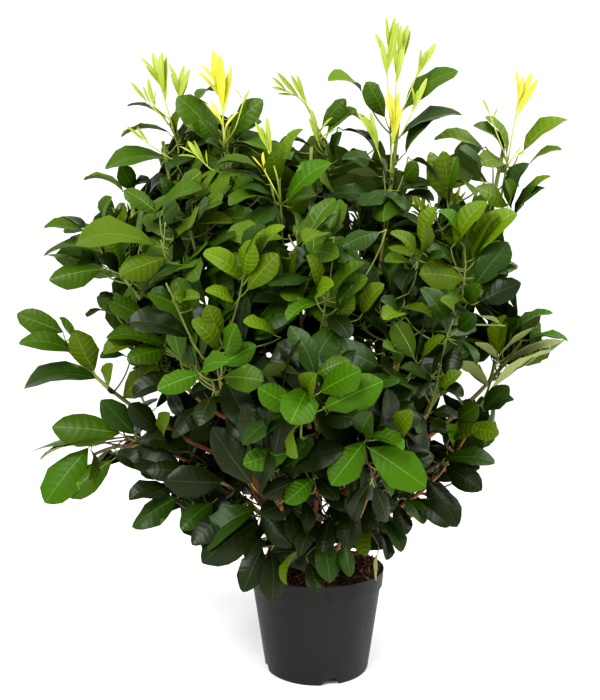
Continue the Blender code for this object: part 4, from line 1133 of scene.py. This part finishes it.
def growFilling():
    # a shoot leaves the nearest limb or twig of its mass that lies lower than the shoot's tip, so that
    # the twigs branch again and again on their way out
    for mass, line in limbLines.items():
        low, high = massBoxes[mass]
        centre, half = (low + high) / 2, (high - low) / 2
        wanted = min(fill["density"] * np.prod(half) * 4.19, fill["leavesMost"])
        total = 0
        forks = line[int(len(line) * 0.5):-1]
        for number in range(fill["tries"]):
            if total >= wanted:
                break
            ray = unit(chance.normal(0.0, 1.0, 3)) * chance.uniform(0.25, 1.0) ** 0.6
            end = centre + ray * np.maximum(half - fill["clear"], half * 0.3)
            reach = np.linalg.norm(forks - end, axis=1)
            cost = reach + 1.5 * np.maximum(forks[:, 2] - end[2] + 0.03, 0.0)
            cost = np.where(reach < fill["shortest"], cost + 1.0, cost)
            start = forks[int(np.argmin(cost))]
            path = shootLine(start, end)
            made, highest = leafyShoot(path, lightStep(end), fill["grace"])
            if made:
                shares = np.linspace(0.0, highest, 9)
                path = np.array([pathSpot(path, share)[0] for share in shares])
                forks = np.concatenate([forks, path[1:7]])
                addShoot(path, 0.0021, 0.0014, "greenTwig")
                if end[2] > fill["newAbove"] and chance.uniform() < fill["newShare"]:
                    addTuft(path)
            total += made
        print("filled", mass, total, "of", int(wanted), "leaves in", number + 1, "shoots")


def growInside():
    # short shoots along the stems and boughs, between the masses, with leaves half a step darker: painted shade
    for line in limbLines.values():
        for number in range(fill["insideShoots"]):
            start = pathSpot(line, chance.uniform(0.25, 0.85))[0]
            turn = chance.uniform(0.0, 6.28)
            ray = np.array([math.cos(turn), math.sin(turn), chance.uniform(0.3, 1.2)])
            end = start + unit(ray) * chance.uniform(0.07, 0.12)
            if end[2] > 0.30:
                path = shootLine(start, end)
                # half a step down the ladder of tints: painted shade inside the crown
                made, highest = leafyShoot(path, lightStep(end) - 0.5, fill["insideGrace"])
                if made:
                    shares = np.linspace(0.0, highest, 9)
                    addShoot(np.array([pathSpot(path, share)[0] for share in shares]), 0.0020, 0.0014, "greenTwig")


growLeadShoots()
leadPlaces = np.array(leadMiddles)
growFilling()
growInside()
print("grown", len(grown["blade"]), "leaves on", len(grown["shoot"]), "shoots")


def makeLeaves():
    looks = leafMaterials()
    columns = list(zip(*grown["blade"]))
    base, tip, upper = (np.array(column) for column in columns[:3])
    shape = [np.array(column) for column in columns[3:10]]
    tint = np.array(columns[10])
    young = np.isin(tint, [tintNames.index(name) for name in newTints])
    groups = [("newLeaves", young, [])]
    for name, low, high in (("Lower", -9.0, 0.50), ("Middle", 0.50, 0.82), ("Upper", 0.82, 9.0)):
        masses = [mass for mass in massCentres if low < massCentres[mass][2] <= high]
        groups.append(("laurelLeaves" + name, ~young & (base[:, 2] > low) & (base[:, 2] <= high), masses))
    for name, chosen, masses in groups:
        count = int(chosen.sum())
        points, spread = leafPoints(base[chosen], tip[chosen], upper[chosen], *[part[chosen] for part in shape])
        quads, caps, kinds = leafFaces(count)
        slots = [(tint[chosen][:, None] * 3 + kinds[None, :]).ravel(), np.repeat(tint[chosen] * 3, 2)]
        item = buildPiece(name, points.reshape(-1, 3), [quads, caps], looks, slots, spread.reshape(-1, 2))
        item.data.set_sharp_from_angle(angle=math.radians(75.0))
        place(item, "leaves", *["mass_" + mass for mass in masses])


def makeShoots():
    # young laurel shoots: smooth green bark, straw green on the newest growth
    looks = {"lowTwig": newMaterial("brownTwigBark", "#4a371c", 0.6)[0],
             "greenTwig": newMaterial("greenTwigBark", "#616e28", 0.5)[0],
             "newStem": newMaterial("newStemBark", "#99a538", 0.5)[0]}
    names = list(looks)
    lines = np.stack([line for line, thick, thin, look in grown["shoot"]])
    share = np.linspace(0.0, 1.0, lines.shape[1])
    radii = np.stack([thick + (thin - thick) * share for line, thick, thin, look in grown["shoot"]])
    points, turn = tubePoints(lines, radii, 7)
    quads, tips = ringFaces(lines.shape[1], 7, len(lines))
    kind = np.array([names.index(look) for line, thick, thin, look in grown["shoot"]])
    slots = [np.repeat(kind, len(quads) // len(lines)), np.repeat(kind, len(tips) // len(lines))]
    item = buildPiece("leafyTwigs", points.reshape(-1, 3), [quads, tips], list(looks.values()), slots)
    place(item, "bough_bark")


def makeStalks():
    # leaf stalks, sappy and yellow green, lighter on new growth
    looks = {"old": newMaterial("leafStalkGreen", "#727e27", 0.5)[0],
             "new": newMaterial("leafStalkNew", "#9ca931", 0.5)[0]}
    root, base, thick, tint = (list(column) for column in zip(*grown["stalk"]))
    root, base, thick = np.array(root), np.array(base), np.array(thick)
    share = np.linspace(0.0, 1.0, 4)
    overlap = base + unit(base - root) * 0.003
    lines = root[:, None] * (1 - share)[None, :, None] + overlap[:, None] * share[None, :, None]
    lines[:, 1:3, 2] -= np.linalg.norm(base - root, axis=1)[:, None] * 0.08
    radii = thick[:, None] * np.array([1.25, 1.0, 0.95, 0.8])[None, :]
    points, turn = tubePoints(lines, radii, 5)
    quads, tips = ringFaces(4, 5, len(root))
    kind = np.array([1 if name in newTints else 0 for name in tint])
    slots = [np.repeat(kind, len(quads) // len(root)), np.repeat(kind, len(tips) // len(root))]
    item = buildPiece("leafStalks", points.reshape(-1, 3), [quads, tips], list(looks.values()), slots)
    place(item, "bough_bark")


makeLeaves()
makeShoots()
makeStalks()
